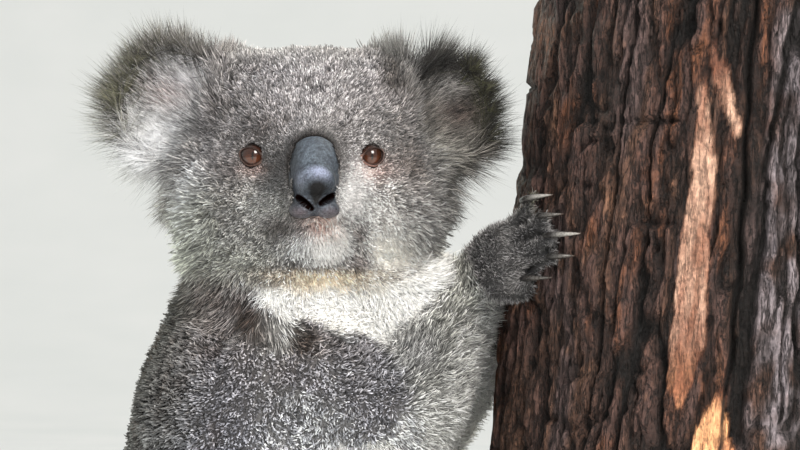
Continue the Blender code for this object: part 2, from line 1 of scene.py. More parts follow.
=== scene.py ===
"""Looks of a life-size museum koala that holds a cut length of eucalypt trunk on a display stand.

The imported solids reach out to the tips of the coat. Here one skin lies inside them by the coat's depth, and the coat
is many thousand small closed locks that grow from the skin along the lie of the hair and end where the solids end.
Everything is in metres in the solids' frame; head coordinates are millimetres from the middle of the skull.
"""

import logging
import math
from collections.abc import Iterator
from dataclasses import dataclass, field
from enum import Enum

import bpy
import numpy as np
from mathutils import Matrix, Vector


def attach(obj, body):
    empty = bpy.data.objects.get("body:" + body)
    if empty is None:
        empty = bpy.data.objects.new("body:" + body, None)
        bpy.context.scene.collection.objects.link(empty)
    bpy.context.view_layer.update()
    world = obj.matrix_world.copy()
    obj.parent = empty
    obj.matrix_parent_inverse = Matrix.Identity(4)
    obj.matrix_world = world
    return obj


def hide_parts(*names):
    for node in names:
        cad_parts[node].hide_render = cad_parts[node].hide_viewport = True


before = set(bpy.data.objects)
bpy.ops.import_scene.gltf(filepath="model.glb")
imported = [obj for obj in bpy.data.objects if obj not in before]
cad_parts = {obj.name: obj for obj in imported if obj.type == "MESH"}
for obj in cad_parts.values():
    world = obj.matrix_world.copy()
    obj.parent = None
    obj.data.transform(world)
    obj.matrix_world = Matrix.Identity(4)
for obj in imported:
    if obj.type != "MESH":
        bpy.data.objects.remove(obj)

Array = np.ndarray
Triple = tuple[float, float, float]
Piece, Material = bpy.types.Object, bpy.types.Material
Tree, Socket = bpy.types.NodeTree, bpy.types.NodeSocket
Sockets = dict[str | int, object]
log = logging.getLogger("koala")
MM = 0.001
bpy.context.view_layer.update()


# ---- numbers and noise


def linear(colour: str) -> Array:
    """An sRGB hex colour as linear red, green and blue."""
    value = np.array([int(colour[i : i + 2], 16) for i in (1, 3, 5)]) / 255.0
    return np.where(value <= 0.04045, value / 12.92, ((value + 0.055) / 1.055) ** 2.4)


def rgba(colour: str) -> tuple[float, ...]:
    """An sRGB hex colour as the linear four numbers that a socket takes."""
    return (*linear(colour).tolist(), 1.0)


def smooth(low: float, high: float, value: Array) -> Array:
    """0 below low, 1 above high, and t * t * (3 - 2t) between them."""
    t = np.clip((value - low) / (high - low), 0.0, 1.0)
    return t * t * (3.0 - 2.0 * t)


def unit(vectors: Array) -> Array:
    """Each row at length 1."""
    return vectors / np.maximum(np.linalg.norm(vectors, axis=-1, keepdims=True), 1e-12)


def mixed(first: Array, second: Array, share: Array) -> Array:
    """Rows of the first moved to the second by their share."""
    return first + (second - first) * share[:, None]


def tinted(tone: Array, colour: str, share: Array) -> Array:
    """Linear colours moved to an sRGB hex colour by their share."""
    return mixed(tone, linear(colour), share)


def bell(*offsets: Array) -> Array:
    """exp(-r^2), with r^2 the sum of the squares of these offsets, each given in widths."""
    return np.exp(-sum(offset**2 for offset in offsets))


def circle(count: int) -> Array:
    """This many even angles once round, in radians."""
    return np.arange(count) / count * 2 * np.pi


def hashed(cells: Array, seed: int) -> Array:
    """A repeatable number from 0 to 1 for each row of whole numbers."""
    with np.errstate(over="ignore"):
        keys = np.full(len(cells), seed * 2654435761 % 2**32, np.uint32)
        for column in range(cells.shape[1]):
            keys = (keys ^ cells[:, column].astype(np.int64).astype(np.uint32)) * np.uint32(2246822519)
            keys ^= keys >> np.uint32(13)
            keys *= np.uint32(3266489917)
            keys ^= keys >> np.uint32(16)
    return keys.astype(np.float64) / 2**32


def noise(points: Array, size: float, seed: int) -> Array:
    """Lattice noise from -1 to 1: a number at each corner of a cube of this size, eased between corners."""
    scaled = points / size
    base = np.floor(scaled)
    part = scaled - base
    ease = part * part * (3.0 - 2.0 * part)
    total = np.zeros(len(points))
    for corner in np.ndindex(2, 2, 2):
        offset = np.array(corner)
        weight = np.prod(np.where(offset, ease, 1.0 - ease), axis=1)
        total += weight * hashed(base + offset, seed)
    return total * 2.0 - 1.0


def fractal(points: Array, size: float, seed: int, octaves: int = 3) -> Array:
    """Noise plus the same at half the size and strength, and so on."""
    layers = [noise(points, size / 2**i, seed + i) / 2**i for i in range(octaves)]
    return np.sum(layers, axis=0) / sum(0.5**i for i in range(octaves))


# ---- meshes


def mesh_object(name: str, points: Array, *faces: Array) -> Piece:
    """An object at the origin from whole arrays.

    Args:
        name: The piece's name.
        points: One row of x, y, z for each vertex, in metres.
        faces: Arrays of vertex numbers, one row for each face, three or four to a row.

    Returns:
        The object, smooth shaded and linked to the scene.
    """
    mesh = bpy.data.meshes.new(name)
    corners = np.concatenate([rows.ravel() for rows in faces]).astype(np.int32)
    sizes = np.concatenate([np.full(len(rows), rows.shape[1]) for rows in faces])
    mesh.vertices.add(len(points))
    mesh.vertices.foreach_set("co", np.ascontiguousarray(points, np.float32).ravel())
    mesh.loops.add(len(corners))
    mesh.loops.foreach_set("vertex_index", corners)
    mesh.polygons.add(len(sizes))
    mesh.polygons.foreach_set("loop_start", np.concatenate([[0], np.cumsum(sizes)[:-1]]).astype(np.int32))
    mesh.update(calc_edges=True)
    mesh.polygons.foreach_set("use_smooth", np.ones(len(sizes), bool))
    obj = bpy.data.objects.new(name, mesh)
    bpy.context.scene.collection.objects.link(obj)
    return obj


def read_rows(items: bpy.types.bpy_prop_collection, name: str, width: int, kind: type) -> Array:
    """One property of every item of a mesh, this many numbers to a row."""
    values = np.empty(len(items) * width, kind)
    items.foreach_get(name, values)
    return values.reshape(-1, width)


def finer(rows: Array, steps: int) -> Array:
    """Rows made this many times denser, the new ones on a Catmull-Rom curve through the old ones."""
    padded = np.concatenate([rows[:1], rows, rows[-1:]])
    made = []
    for a, b, c, d in zip(padded, padded[1:], padded[2:], padded[3:]):
        for t in np.arange(steps) / steps:
            curve = (2 * a - 5 * b + 4 * c - d) * t**2 + (3 * b - a - 3 * c + d) * t**3
            made.append(0.5 * (2 * b + (c - a) * t + curve))
    return np.stack([*made, rows[-1]])


def paint(obj: Piece, name: str, values: Array) -> None:
    """Stores one number or one linear colour for each vertex."""
    if values.ndim == 1:
        layer = obj.data.attributes.new(name, "FLOAT", "POINT")
        layer.data.foreach_set("value", values.astype(np.float32))
        return
    layer = obj.data.attributes.new(name, "FLOAT_COLOR", "POINT")
    full = np.concatenate([values, np.ones((len(values), 1))], axis=1)
    layer.data.foreach_set("color", full.astype(np.float32).ravel())


def grid_faces(rows: int, columns: int, around: bool = True) -> Array:
    """Quads of a grid of points stored row by row; around joins each row's end to its start."""
    across = columns if around else columns - 1
    row, column = np.meshgrid(np.arange(rows - 1), np.arange(across), indexing="ij")
    start, after = row * columns + column, row * columns + (column + 1) % columns
    return np.stack([start, after, after + columns, start + columns], axis=-1).reshape(-1, 4)


def closed_grid(rows: int, columns: int) -> tuple[Array, Array]:
    """Faces of a grid wound round an axis, with one extra vertex at each end for its pole.

    Args:
        rows: Rings from the first pole to the last.
        columns: Points round each ring.

    Returns:
        The quads, and the triangles that close both poles; the pole vertices come after the grid's.
    """
    ring = np.arange(columns)
    after = (ring + 1) % columns
    last = (rows - 1) * columns
    first_pole, last_pole = np.full(columns, rows * columns), np.full(columns, rows * columns + 1)
    low = np.stack([after, ring, first_pole], axis=1)
    high = np.stack([last + ring, last + after, last_pole], axis=1)
    return grid_faces(rows, columns), np.concatenate([low, high])


def ball_grid(rows: int, columns: int) -> tuple[Array, Array, Array]:
    """A ball's directions in rings round z, its poles last, with the quads and the caps that join them."""
    tilt, turn = np.meshgrid(np.linspace(0, np.pi, rows + 2)[1:-1], circle(columns), indexing="ij")
    rings = np.stack([np.sin(tilt) * np.cos(turn), np.sin(tilt) * np.sin(turn), np.cos(tilt)], -1).reshape(-1, 3)
    return np.concatenate([rings, [[0, 0, 1], [0, 0, -1]]]), *closed_grid(rows, columns)


def finish_piece(obj: Piece, finish: Material, slot: str, *nodes: str) -> Piece:
    """Gives a piece its finish, lets it ride on the one body, and hides the solids it stands for."""
    obj.data.materials.clear()
    obj.data.materials.append(finish)
    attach(obj, "root")
    if nodes:
        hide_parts(*nodes)
    obj.data.calc_loop_triangles()
    log.info("%s: %d triangles", obj.name, len(obj.data.loop_triangles))
    return obj


# ---- where the parts lie


class Side(Enum):
    """The animal's own right and left."""

    RIGHT = 1
    LEFT = -1

    @property
    def tag(self) -> str:
        """The side as it stands in a node's name."""
        return self.name.lower()


@dataclass(frozen=True)
class Paw:
    """A paw on the trunk: wrap angle and height of its wrist or ankle, and the way its digits wrap."""

    angle: float
    height: float
    way: int


@dataclass(frozen=True)
class Ear:
    """An ear in head millimetres: its middle, half sizes, cup depth, turn and lean in degrees."""

    centre: Triple
    half: Triple
    cup: float
    turn: float
    lean: float


def turned(axis: str, degrees: float) -> Array:
    """A 3 x 3 turn about an axis."""
    return np.array(Matrix.Rotation(math.radians(degrees), 3, axis))


@dataclass(frozen=True)
class Anatomy:
    """Places and measures of the animal and its trunk, the same as in the solids."""

    head: Triple = (-0.1205, -0.005, 0.540)
    head_yaw: float = 3.5
    chest_turn: float = 72.0
    shoulders: Triple = (-0.132, 0.017, 0.425)
    pelvis: Triple = (-0.143, 0.018, 0.200)
    shoulder_half: float = 0.057
    hip_half: float = 0.050
    trunk_low: float = 0.07
    trunk_high: float = 0.655
    trunk_foot: tuple[float, float] = (0.078, 0.003)
    trunk_lean: float = 5.0
    trunk_radii: tuple[float, float] = (0.132, 0.114)
    ears: dict[Side, Ear] = field(
        default_factory=lambda: {
            Side.RIGHT: Ear((-75, 4, 33), (42, 13, 50), 16, 20, 16),
            Side.LEFT: Ear((73, 6, 28), (38, 13, 46), 16, 20, -12),
        }
    )
    eye: Triple = (31.8, -39.5, 4.6)
    eye_radius: float = 7.4
    hands: dict[Side, Paw] = field(
        default_factory=lambda: {Side.RIGHT: Paw(97, 0.4825, -1), Side.LEFT: Paw(112, 0.4450, 1)}
    )
    feet: dict[Side, Paw] = field(
        default_factory=lambda: {Side.RIGHT: Paw(78, 0.150, -1), Side.LEFT: Paw(110, 0.150, 1)}
    )

    def forward(self) -> Array:
        """The way the chest faces."""
        turn = math.radians(self.chest_turn)
        return np.array([math.sin(turn), -math.cos(turn), 0.0])

    def rightward(self) -> Array:
        """The animal's right-hand side."""
        turn = math.radians(self.chest_turn)
        return np.array([-math.cos(turn), -math.sin(turn), 0.0])

    def to_head(self, points: Array) -> Array:
        """World points in head millimetres: x to the viewer's right, y backwards, z up."""
        return (points - np.array(self.head)) @ turned("Z", self.head_yaw) / MM

    def from_head(self, points: Array) -> Array:
        """Head millimetres in the world."""
        return points @ turned("Z", self.head_yaw).T * MM + np.array(self.head)

    def head_turn(self, vectors: Array) -> Array:
        """Head directions in the world."""
        return vectors @ turned("Z", self.head_yaw).T

    def ear_turn(self, side: Side) -> Array:
        """The turn from an ear's own directions to the head's."""
        ear = self.ears[side]
        return turned("Z", -side.value * ear.turn) @ turned("Y", ear.lean)

    def ears_edge(self, points: Array) -> Array:
        """1 at the ears' rims, where the thin hair tips get a painted backlit glow, 0 away from them."""
        place = self.to_head(points)
        edge = np.zeros(len(points))
        for side, ear in self.ears.items():
            local = (place - np.array(ear.centre)) @ self.ear_turn(side)
            reach = np.hypot(local[:, 0] / ear.half[0], local[:, 2] / ear.half[2])
            outer = smooth(4, 26, -side.value * local[:, 0])
            edge = np.maximum(edge, smooth(0.52, 0.70, reach) * smooth(1.5, 1.1, reach) * outer)
        return edge

    def eye_centre(self, side: Side) -> Array:
        """An eyeball's middle in head millimetres."""
        return np.array([-side.value * self.eye[0], self.eye[1], self.eye[2]])

    def lid_axis(self, side: Side) -> Array:
        """The way an eye's opening faces, in head directions."""
        return unit(np.array([-side.value * 0.30, -0.95, 0.05]))

    def before_eye(self, face: Array, side: Side) -> tuple[Array, Array]:
        """How far head points lie along an eye's opening's axis from its middle, and how far beside the axis."""
        offset, axis = face - self.eye_centre(side), self.lid_axis(side)
        along = offset @ axis
        return along, np.linalg.norm(offset - along[:, None] * axis, axis=1)

    def trunk_axis(self, height: Array) -> Array:
        """The trunk's middle at these heights."""
        run = (height - self.trunk_low) * math.tan(math.radians(self.trunk_lean))
        return np.stack([self.trunk_foot[0] + run, np.full_like(run, self.trunk_foot[1]), height], axis=-1)

    def trunk_radius(self, height: Array) -> Array:
        """The trunk's mean radius at these heights."""
        share = (height - self.trunk_low) / (self.trunk_high - self.trunk_low)
        return self.trunk_radii[0] + (self.trunk_radii[1] - self.trunk_radii[0]) * share

    def on_trunk(self, angle: Array, height: Array, lift: Array) -> Array:
        """Points above the bark: angles in degrees, 0 at the front and 90 on the animal's side."""
        angle, height, lift = np.broadcast_arrays(np.asarray(angle, float), height, lift)
        turn = np.radians(angle)
        reach = self.trunk_radius(height) + lift
        outwards = np.stack([np.sin(turn), np.cos(turn), np.zeros_like(turn)], axis=-1)
        return self.trunk_axis(height) - reach[..., None] * outwards

    def paw_place(self, paw: Paw, wrap: Array, rise: Array, lift: Array) -> Array:
        """Points above the bark from a paw's wrist: wrap in degrees, rise and lift in metres."""
        return self.on_trunk(paw.angle + paw.way * np.asarray(wrap, float), paw.height + rise, lift)

    def joints(self, side: Side) -> dict[str, Array]:
        """The limb joints of one side."""
        right = side is Side.RIGHT
        out = self.rightward() * side.value
        return {
            "shoulder": np.array(self.shoulders) + out * self.shoulder_half + (0, 0, 0.010),
            "elbow": np.array((-0.070, -0.055, 0.400) if right else (-0.075, 0.115, 0.365)),
            "wrist": self.paw_place(self.hands[side], 0, 0, 0.017),
            "hip": np.array(self.pelvis) + out * self.hip_half,
            "knee": np.array((-0.072, -0.100, 0.240) if right else (-0.050, 0.133, 0.228)),
            "ankle": self.paw_place(self.feet[side], 0, 0, 0.020),
        }


# ---- finishes


# Inputs 1 and 2 of a MapRange node: the span in which most of a noise's values lie.
NOISE_SPAN = {1: 0.3, 2: 0.7}


def fill(node: bpy.types.Node, sockets: Sockets) -> None:
    """Gives each named or numbered input its value, or a link where that is another node's output."""
    for key, value in sockets.items():
        if isinstance(value, Socket):
            node.id_data.links.new(value, node.inputs[key])
        else:
            node.inputs[key].default_value = value


def add(
    tree: Tree, kind: str, sockets: Sockets | None = None, output: str | int = 0, stops: dict[float, str] | None = None,
    **settings: object
) -> Socket:
    """Adds a node with its settings, its colour stops and its inputs' values or links.

    Args:
        tree: The material's node tree.
        kind: The node's type name without its ShaderNode prefix.
        sockets: Input name or number to a value, or to an output to link.
        output: Name or number of the output that is wanted.
        stops: On a colour ramp, place to sRGB hex colour.
        settings: Properties of the node.

    Returns:
        The wanted output.
    """
    node = tree.nodes.new("ShaderNode" + kind)
    for name, value in settings.items():
        setattr(node, name, value)
    fill(node, sockets or {})
    if stops:
        elements = node.color_ramp.elements
        while len(elements) < len(stops):
            elements.new(0.5)
        for element, (place, colour) in zip(elements, sorted(stops.items())):
            element.position, element.color = place, rgba(colour)
    return node.outputs[output]


def painted(tree: Tree, *factors: Socket) -> Socket:
    """The tone stored on the piece, times each of these factors."""
    toned = add(tree, "Attribute", attribute_name="tone")
    for factor in factors:
        toned = add(tree, "VectorMath", {0: toned, 1: factor}, operation="MULTIPLY")
    return toned


@dataclass(frozen=True)
class Finish:
    """A material named for what it is and how it was made; each kind says what its shader's sockets get."""

    name: str

    def sockets(self, tree: Tree, place: Socket) -> Sockets:
        """The Principled shader's inputs, each a value or another node's output.

        Args:
            tree: The material's node tree.
            place: Object coordinates, on which every pattern is laid.

        Returns:
            The inputs by name.
        """
        raise NotImplementedError

    def build(self) -> Material:
        """The material with its nodes."""
        material = bpy.data.materials.new(self.name)
        material.use_nodes = True
        tree = material.node_tree
        place = add(tree, "TexCoord", output="Object")
        fill(tree.nodes["Principled BSDF"], self.sockets(tree, place))
        return material


@dataclass(frozen=True)
class FurFinish(Finish):
    """Dry hair, keratin: a soft wide gloss and a pale rim where the light grazes it."""

    name: str = "koala_hair_grown"
    roughness: float = 0.62
    ior: float = 1.55
    sheen: float = 0.12
    fleck_mm: float = 3.5

    def sockets(self, tree: Tree, place: Socket) -> Sockets:
        """Each lock's own colour, lightly mottled as hairs bunch and part."""
        mottle = add(tree, "TexNoise", {"Vector": place, "Scale": 1 / (self.fleck_mm * MM), "Detail": 3.0})
        strength = add(tree, "MapRange", {0: mottle, **NOISE_SPAN, 3: 0.72, 4: 1.25})
        return {
            "Base Color": painted(tree, strength),
            "Roughness": self.roughness,
            "IOR": self.ior,
            "Specular IOR Level": 0.22,
            "Sheen Weight": self.sheen,
            "Sheen Roughness": 0.4,
        }


@dataclass(frozen=True)
class SkinFinish(Finish):
    """Underfur felted on skin: matt, with a fine grain that breaks the light between the locks."""

    name: str = "koala_underfur_felted"
    grain_mm: float = 0.9
    depth_mm: float = 0.5

    def sockets(self, tree: Tree, place: Socket) -> Sockets:
        """The markings' colour, darkened in the grain's hollows, with a bump of the same grain."""
        grain = add(tree, "TexNoise", {"Vector": place, "Scale": 1 / (self.grain_mm * MM), "Detail": 4.0})
        strength = add(tree, "MapRange", {0: grain, **NOISE_SPAN, 3: 0.6, 4: 1.2})
        return {
            "Base Color": painted(tree, strength),
            "Normal": add(tree, "Bump", {"Height": grain, "Distance": self.depth_mm * MM, "Strength": 0.8}),
            "Roughness": 0.85,
            "IOR": 1.45,
            "Specular IOR Level": 0.15,
        }


@dataclass(frozen=True)
class NoseFinish(Finish):
    """Bare nose leather: pebbled and matt on the dome, worn smoother and moist towards the nostrils."""

    name: str = "nose_leather_pebbled"
    pebble_mm: float = 0.8
    pebble_rise_mm: float = 0.28
    fleck_mm: float = 1.0
    pore_mm: float = 0.35

    def sockets(self, tree: Tree, place: Socket) -> Sockets:
        """The painted tone broken by pebbles; roughness falls towards the moist lower front."""
        pebble = add(tree, "TexVoronoi", {"Vector": place, "Scale": 1 / (self.pebble_mm * MM)}, feature="F1")
        fleck = add(tree, "TexNoise", {"Vector": place, "Scale": 1 / (self.fleck_mm * MM), "Detail": 4.0})
        tint = add(tree, "MapRange", {0: fleck, **NOISE_SPAN, 3: 0.5, 4: 1.5})
        moist = add(tree, "Attribute", output="Fac", attribute_name="moist")
        gloss = add(tree, "Attribute", output="Fac", attribute_name="gloss")
        rough = add(tree, "MapRange", {0: moist, 3: 0.62, 4: 0.34})
        uneven = add(tree, "MapRange", {0: fleck, **NOISE_SPAN, 3: -0.08, 4: 0.1})
        coarse = add(tree, "Bump", {"Height": pebble, "Distance": self.pebble_rise_mm * MM, "Strength": 0.9})
        return {
            "Base Color": painted(tree, tint),
            "Roughness": add(tree, "Math", {0: rough, 1: uneven}, operation="ADD"),
            "Specular IOR Level": add(tree, "Math", {0: gloss, 1: 0.5}, operation="MULTIPLY"),
            "Normal": add(tree, "Bump", {"Height": fleck, "Distance": self.pore_mm * MM, "Normal": coarse}),
            "IOR": 1.45,
        }


@dataclass(frozen=True)
class EyeFinish(Finish):
    """A wet cornea over a brown iris: sharp highlights and a deep colour."""

    name: str = "eye_glass_cast"
    fibre_mm: float = 0.7

    def sockets(self, tree: Tree, place: Socket) -> Sockets:
        """The iris tone with fine fibres under a clear wet coat."""
        fibre = add(tree, "TexNoise", {"Vector": place, "Scale": 1 / (self.fibre_mm * MM), "Detail": 3.0})
        tint = add(tree, "MapRange", {0: fibre, **NOISE_SPAN, 3: 0.75, 4: 1.25})
        return {
            "Base Color": painted(tree, tint),
            "Roughness": 0.12,
            "IOR": 1.38,
            "Coat Weight": 1.0,
            "Coat Roughness": 0.02,
            "Coat IOR": 1.38,
        }


@dataclass(frozen=True)
class LidFinish(Finish):
    """Bare lid skin: moist at the rim, finely wrinkled outside it."""

    name: str = "eyelid_skin_bare"
    crease_mm: float = 0.8
    depth_mm: float = 0.2

    def sockets(self, tree: Tree, place: Socket) -> Sockets:
        """The painted tone with a fine wrinkle bump."""
        crease = add(tree, "TexNoise", {"Vector": place, "Scale": 1 / (self.crease_mm * MM), "Detail": 4.0})
        tint = add(tree, "MapRange", {0: crease, **NOISE_SPAN, 3: 0.8, 4: 1.2})
        return {
            "Base Color": painted(tree, tint),
            "Normal": add(tree, "Bump", {"Height": crease, "Distance": self.depth_mm * MM}),
            "Roughness": 0.42,
            "IOR": 1.4,
            "Specular IOR Level": 0.5,
        }


@dataclass(frozen=True)
class ClawFinish(Finish):
    """Horn grown in layers: near black at the root, greyer towards the tip and polished there by use."""

    name: str = "claw_horn_grown"
    streak_mm: float = 1.2
    depth_mm: float = 0.08

    def sockets(self, tree: Tree, place: Socket) -> Sockets:
        """The painted tone with darker and lighter flecks, under a worn polish."""
        streak = add(tree, "TexNoise", {"Vector": place, "Scale": 1 / (self.streak_mm * MM), "Detail": 4.0})
        tint = add(tree, "MapRange", {0: streak, **NOISE_SPAN, 3: 0.7, 4: 1.3})
        return {
            "Base Color": painted(tree, tint),
            "Roughness": add(tree, "MapRange", {0: streak, **NOISE_SPAN, 3: 0.2, 4: 0.38}),
            "Normal": add(tree, "Bump", {"Height": streak, "Distance": self.depth_mm * MM}),
            "IOR": 1.56,
            "Specular IOR Level": 0.6,
        }


@dataclass(frozen=True)
class BarkFinish(Finish):
    """Old eucalypt bark, weathered: dark furrows, their darkness partly painted shade, red-brown fibrous ridges and
    bare orange wood where it tore off.
    """

    name: str = "eucalypt_bark_weathered"
    fibre_mm: float = 1.5
    fibre_squash: float = 0.28
    crumb_mm: float = 2.2
    seam_mm: float = 3.6
    seam_squash: float = 0.15

    def sockets(self, tree: Tree, place: Socket) -> Sockets:
        """Painted tone times long fibres, crumbs, and thin dark seams where a noise crosses its middle."""
        bare = add(tree, "Attribute", output="Fac", attribute_name="bare")
        along = add(tree, "Mapping", {"Vector": place, "Scale": (1.0, 1.0, self.fibre_squash)})
        upright = add(tree, "Mapping", {"Vector": place, "Scale": (1.0, 1.0, self.seam_squash)})
        long = {"Vector": along, "Scale": 1 / (self.fibre_mm * MM), "Detail": 6.0, "Roughness": 0.65}
        thin = {"Vector": upright, "Scale": 1 / (self.seam_mm * MM), "Detail": 3.0, "Roughness": 0.62}
        fibre, seam = add(tree, "TexNoise", long), add(tree, "TexNoise", thin)
        crumb = add(tree, "TexNoise", {"Vector": place, "Scale": 1 / (self.crumb_mm * MM), "Detail": 5.0})
        # Thin dark seams, darkest in the splits between bark strips: partly painted shade there.
        off = add(tree, "Math", {0: seam, 1: 0.5}, operation="SUBTRACT")
        away = add(tree, "Math", {0: off}, operation="ABSOLUTE")
        floor = add(tree, "MapRange", {0: bare, 3: 0.16, 4: 0.50})
        line = add(tree, "MapRange", {0: away, 1: 0.0, 2: 0.06, 3: floor, 4: 1.0})
        low = add(tree, "MapRange", {0: bare, 3: 0.40, 4: 0.62})
        high = add(tree, "MapRange", {0: bare, 3: 1.60, 4: 1.36})
        dark = add(tree, "MapRange", {0: fibre, 1: 0.32, 2: 0.68, 3: low, 4: high})
        spot = add(tree, "MapRange", {0: crumb, **NOISE_SPAN, 3: 0.72, 4: 1.22})
        split = add(tree, "Bump", {"Height": line, "Distance": 1.4 * MM, "Strength": 0.9})
        coarse = add(tree, "Bump", {"Height": fibre, "Distance": 2.2 * MM, "Strength": 1.0, "Normal": split})
        return {
            "Base Color": painted(tree, dark, spot, line),
            "Normal": add(tree, "Bump", {"Height": crumb, "Distance": 1.6 * MM, "Strength": 0.9, "Normal": coarse}),
            "Roughness": add(tree, "MapRange", {0: crumb, **NOISE_SPAN, 3: 0.55, 4: 0.9}),
            "IOR": 1.5,
            "Specular IOR Level": 0.4,
        }


@dataclass(frozen=True)
class BaseFinish(Finish):
    """Stained and lacquered oak board: satin, with long open grain along its length."""

    name: str = "oak_board_lacquered"
    grain_mm: float = 2.5
    grain_squash: float = 0.06

    def sockets(self, tree: Tree, place: Socket) -> Sockets:
        """Dark stained grain stretched along x, with pores under the lacquer."""
        along = add(tree, "Mapping", {"Vector": place, "Scale": (self.grain_squash, 1.0, 1.0)})
        long = {"Vector": along, "Scale": 1 / (self.grain_mm * MM), "Detail": 6.0, "Roughness": 0.6}
        grain = add(tree, "TexNoise", long)
        return {
            "Base Color": add(tree, "ValToRGB", {0: grain}, stops={0.3: "#1B1715", 0.55: "#2E2723", 0.75: "#3B332D"}),
            "Normal": add(tree, "Bump", {"Height": grain, "Distance": 0.15 * MM, "Strength": 0.5}),
            "Roughness": add(tree, "MapRange", {0: grain, **NOISE_SPAN, 3: 0.46, 4: 0.32}),
            "IOR": 1.5,
            "Coat Weight": 0.3,
            "Coat Roughness": 0.2,
        }


@dataclass(frozen=True)
class RodFinish(Finish):
    """Stainless steel bar, turned: bright with fine rings round it."""

    name: str = "stainless_steel_turned"
    ring_mm: float = 0.5
    ring_squash: float = 0.03

    def sockets(self, tree: Tree, place: Socket) -> Sockets:
        """Grey metal whose roughness follows fine rings along z."""
        around = add(tree, "Mapping", {"Vector": place, "Scale": (self.ring_squash, self.ring_squash, 1.0)})
        ring = add(tree, "TexNoise", {"Vector": around, "Scale": 1 / (self.ring_mm * MM), "Detail": 3.0})
        return {
            "Base Color": add(tree, "ValToRGB", {0: ring}, stops={0.3: "#8F9092", 0.7: "#B9BABB"}),
            "Roughness": add(tree, "MapRange", {0: ring, **NOISE_SPAN, 3: 0.24, 4: 0.4}),
            "Metallic": 1.0,
        }


@dataclass(frozen=True)
class PaperFinish(Finish):
    """A studio paper sweep: matt and pale, with the faintest mottle."""

    name: str = "studio_paper_rolled"

    def sockets(self, tree: Tree, place: Socket) -> Sockets:
        """Near white, mottled by a hundredth, three mottles to the metre."""
        mottle = add(tree, "TexNoise", {"Vector": place, "Scale": 3.0, "Detail": 2.0})
        return {
            "Base Color": add(tree, "ValToRGB", {0: mottle}, stops={0.3: "#E4E5E2", 0.7: "#E9E9E6"}),
            "Roughness": 0.95,
            "Specular IOR Level": 0.1,
        }


# ---- surfaces as arrays


def surface_normals(points: Array, faces: Array) -> Array:
    """Unit normals at the vertices: the sum of their faces' normals, each the cross product of two diagonals."""
    if faces.shape[1] == 4:
        flat = np.cross(points[faces[:, 2]] - points[faces[:, 0]], points[faces[:, 3]] - points[faces[:, 1]])
    else:
        flat = np.cross(points[faces[:, 1]] - points[faces[:, 0]], points[faces[:, 2]] - points[faces[:, 0]])
    corners = faces.ravel()
    spread = np.repeat(flat, faces.shape[1], axis=0)
    total = [np.bincount(corners, spread[:, axis], len(points)) for axis in range(3)]
    return unit(np.stack(total, axis=1))


@dataclass
class Links:
    """Which vertices of a mesh are joined by an edge, for smoothing values over it."""

    first: Array
    second: Array
    count: Array

    @classmethod
    def of_faces(cls, faces: Array, size: int) -> "Links":
        """Both directions of every edge of these faces."""
        ends = np.stack([faces, np.roll(faces, -1, axis=1)], axis=-1).reshape(-1, 2)
        ends = np.unique(np.sort(ends, axis=1), axis=0)
        both = np.concatenate([ends, ends[:, ::-1]])
        return cls(both[:, 0], both[:, 1], np.maximum(np.bincount(both[:, 0], minlength=size), 1))

    def eased(self, values: Array, rounds: int, share: float = 0.5) -> Array:
        """Each value moved a share of the way to its neighbours' mean, this many times."""
        flat = values.reshape(len(values), -1).astype(float)
        for _ in range(rounds):
            mean = [np.bincount(self.first, flat[self.second, c], len(flat)) for c in range(flat.shape[1])]
            flat = flat + share * (np.stack(mean, axis=1) / self.count[:, None] - flat)
        return flat.reshape(values.shape)


def segment_distance(points: Array, line: Array) -> Array:
    """Distance from each point to a broken line: the least over its segments."""
    least = np.full(len(points), np.inf)
    for start, end in zip(line[:-1], line[1:]):
        run = end - start
        share = np.clip((points - start) @ run / (run @ run), 0.0, 1.0)
        least = np.minimum(least, np.linalg.norm(points - start - share[:, None] * run, axis=1))
    return least


@dataclass(frozen=True)
class Blob:
    """An ellipsoid in head millimetres, turned about its y axis."""

    centre: Triple
    half: Triple
    roll: float = 0.0

    def distance(self, points: Array) -> Array:
        """About how far points lie outside: k0 (k0 - 1) / k1, with k0 and k1 the lengths of p / r and p / r^2."""
        local = (points - np.array(self.centre)) @ turned("Y", self.roll)
        half = np.array(self.half)
        near = np.linalg.norm(local / half, axis=1)
        slope = np.maximum(np.linalg.norm(local / half**2, axis=1), 1e-9)
        return near * (near - 1.0) / slope


def union(first: Array, second: Array, blend: float) -> Array:
    """The smaller of two distances, rounded over this width where they cross."""
    share = np.clip(0.5 + 0.5 * (second - first) / blend, 0.0, 1.0)
    return second + (first - second) * share - blend * share * (1.0 - share)


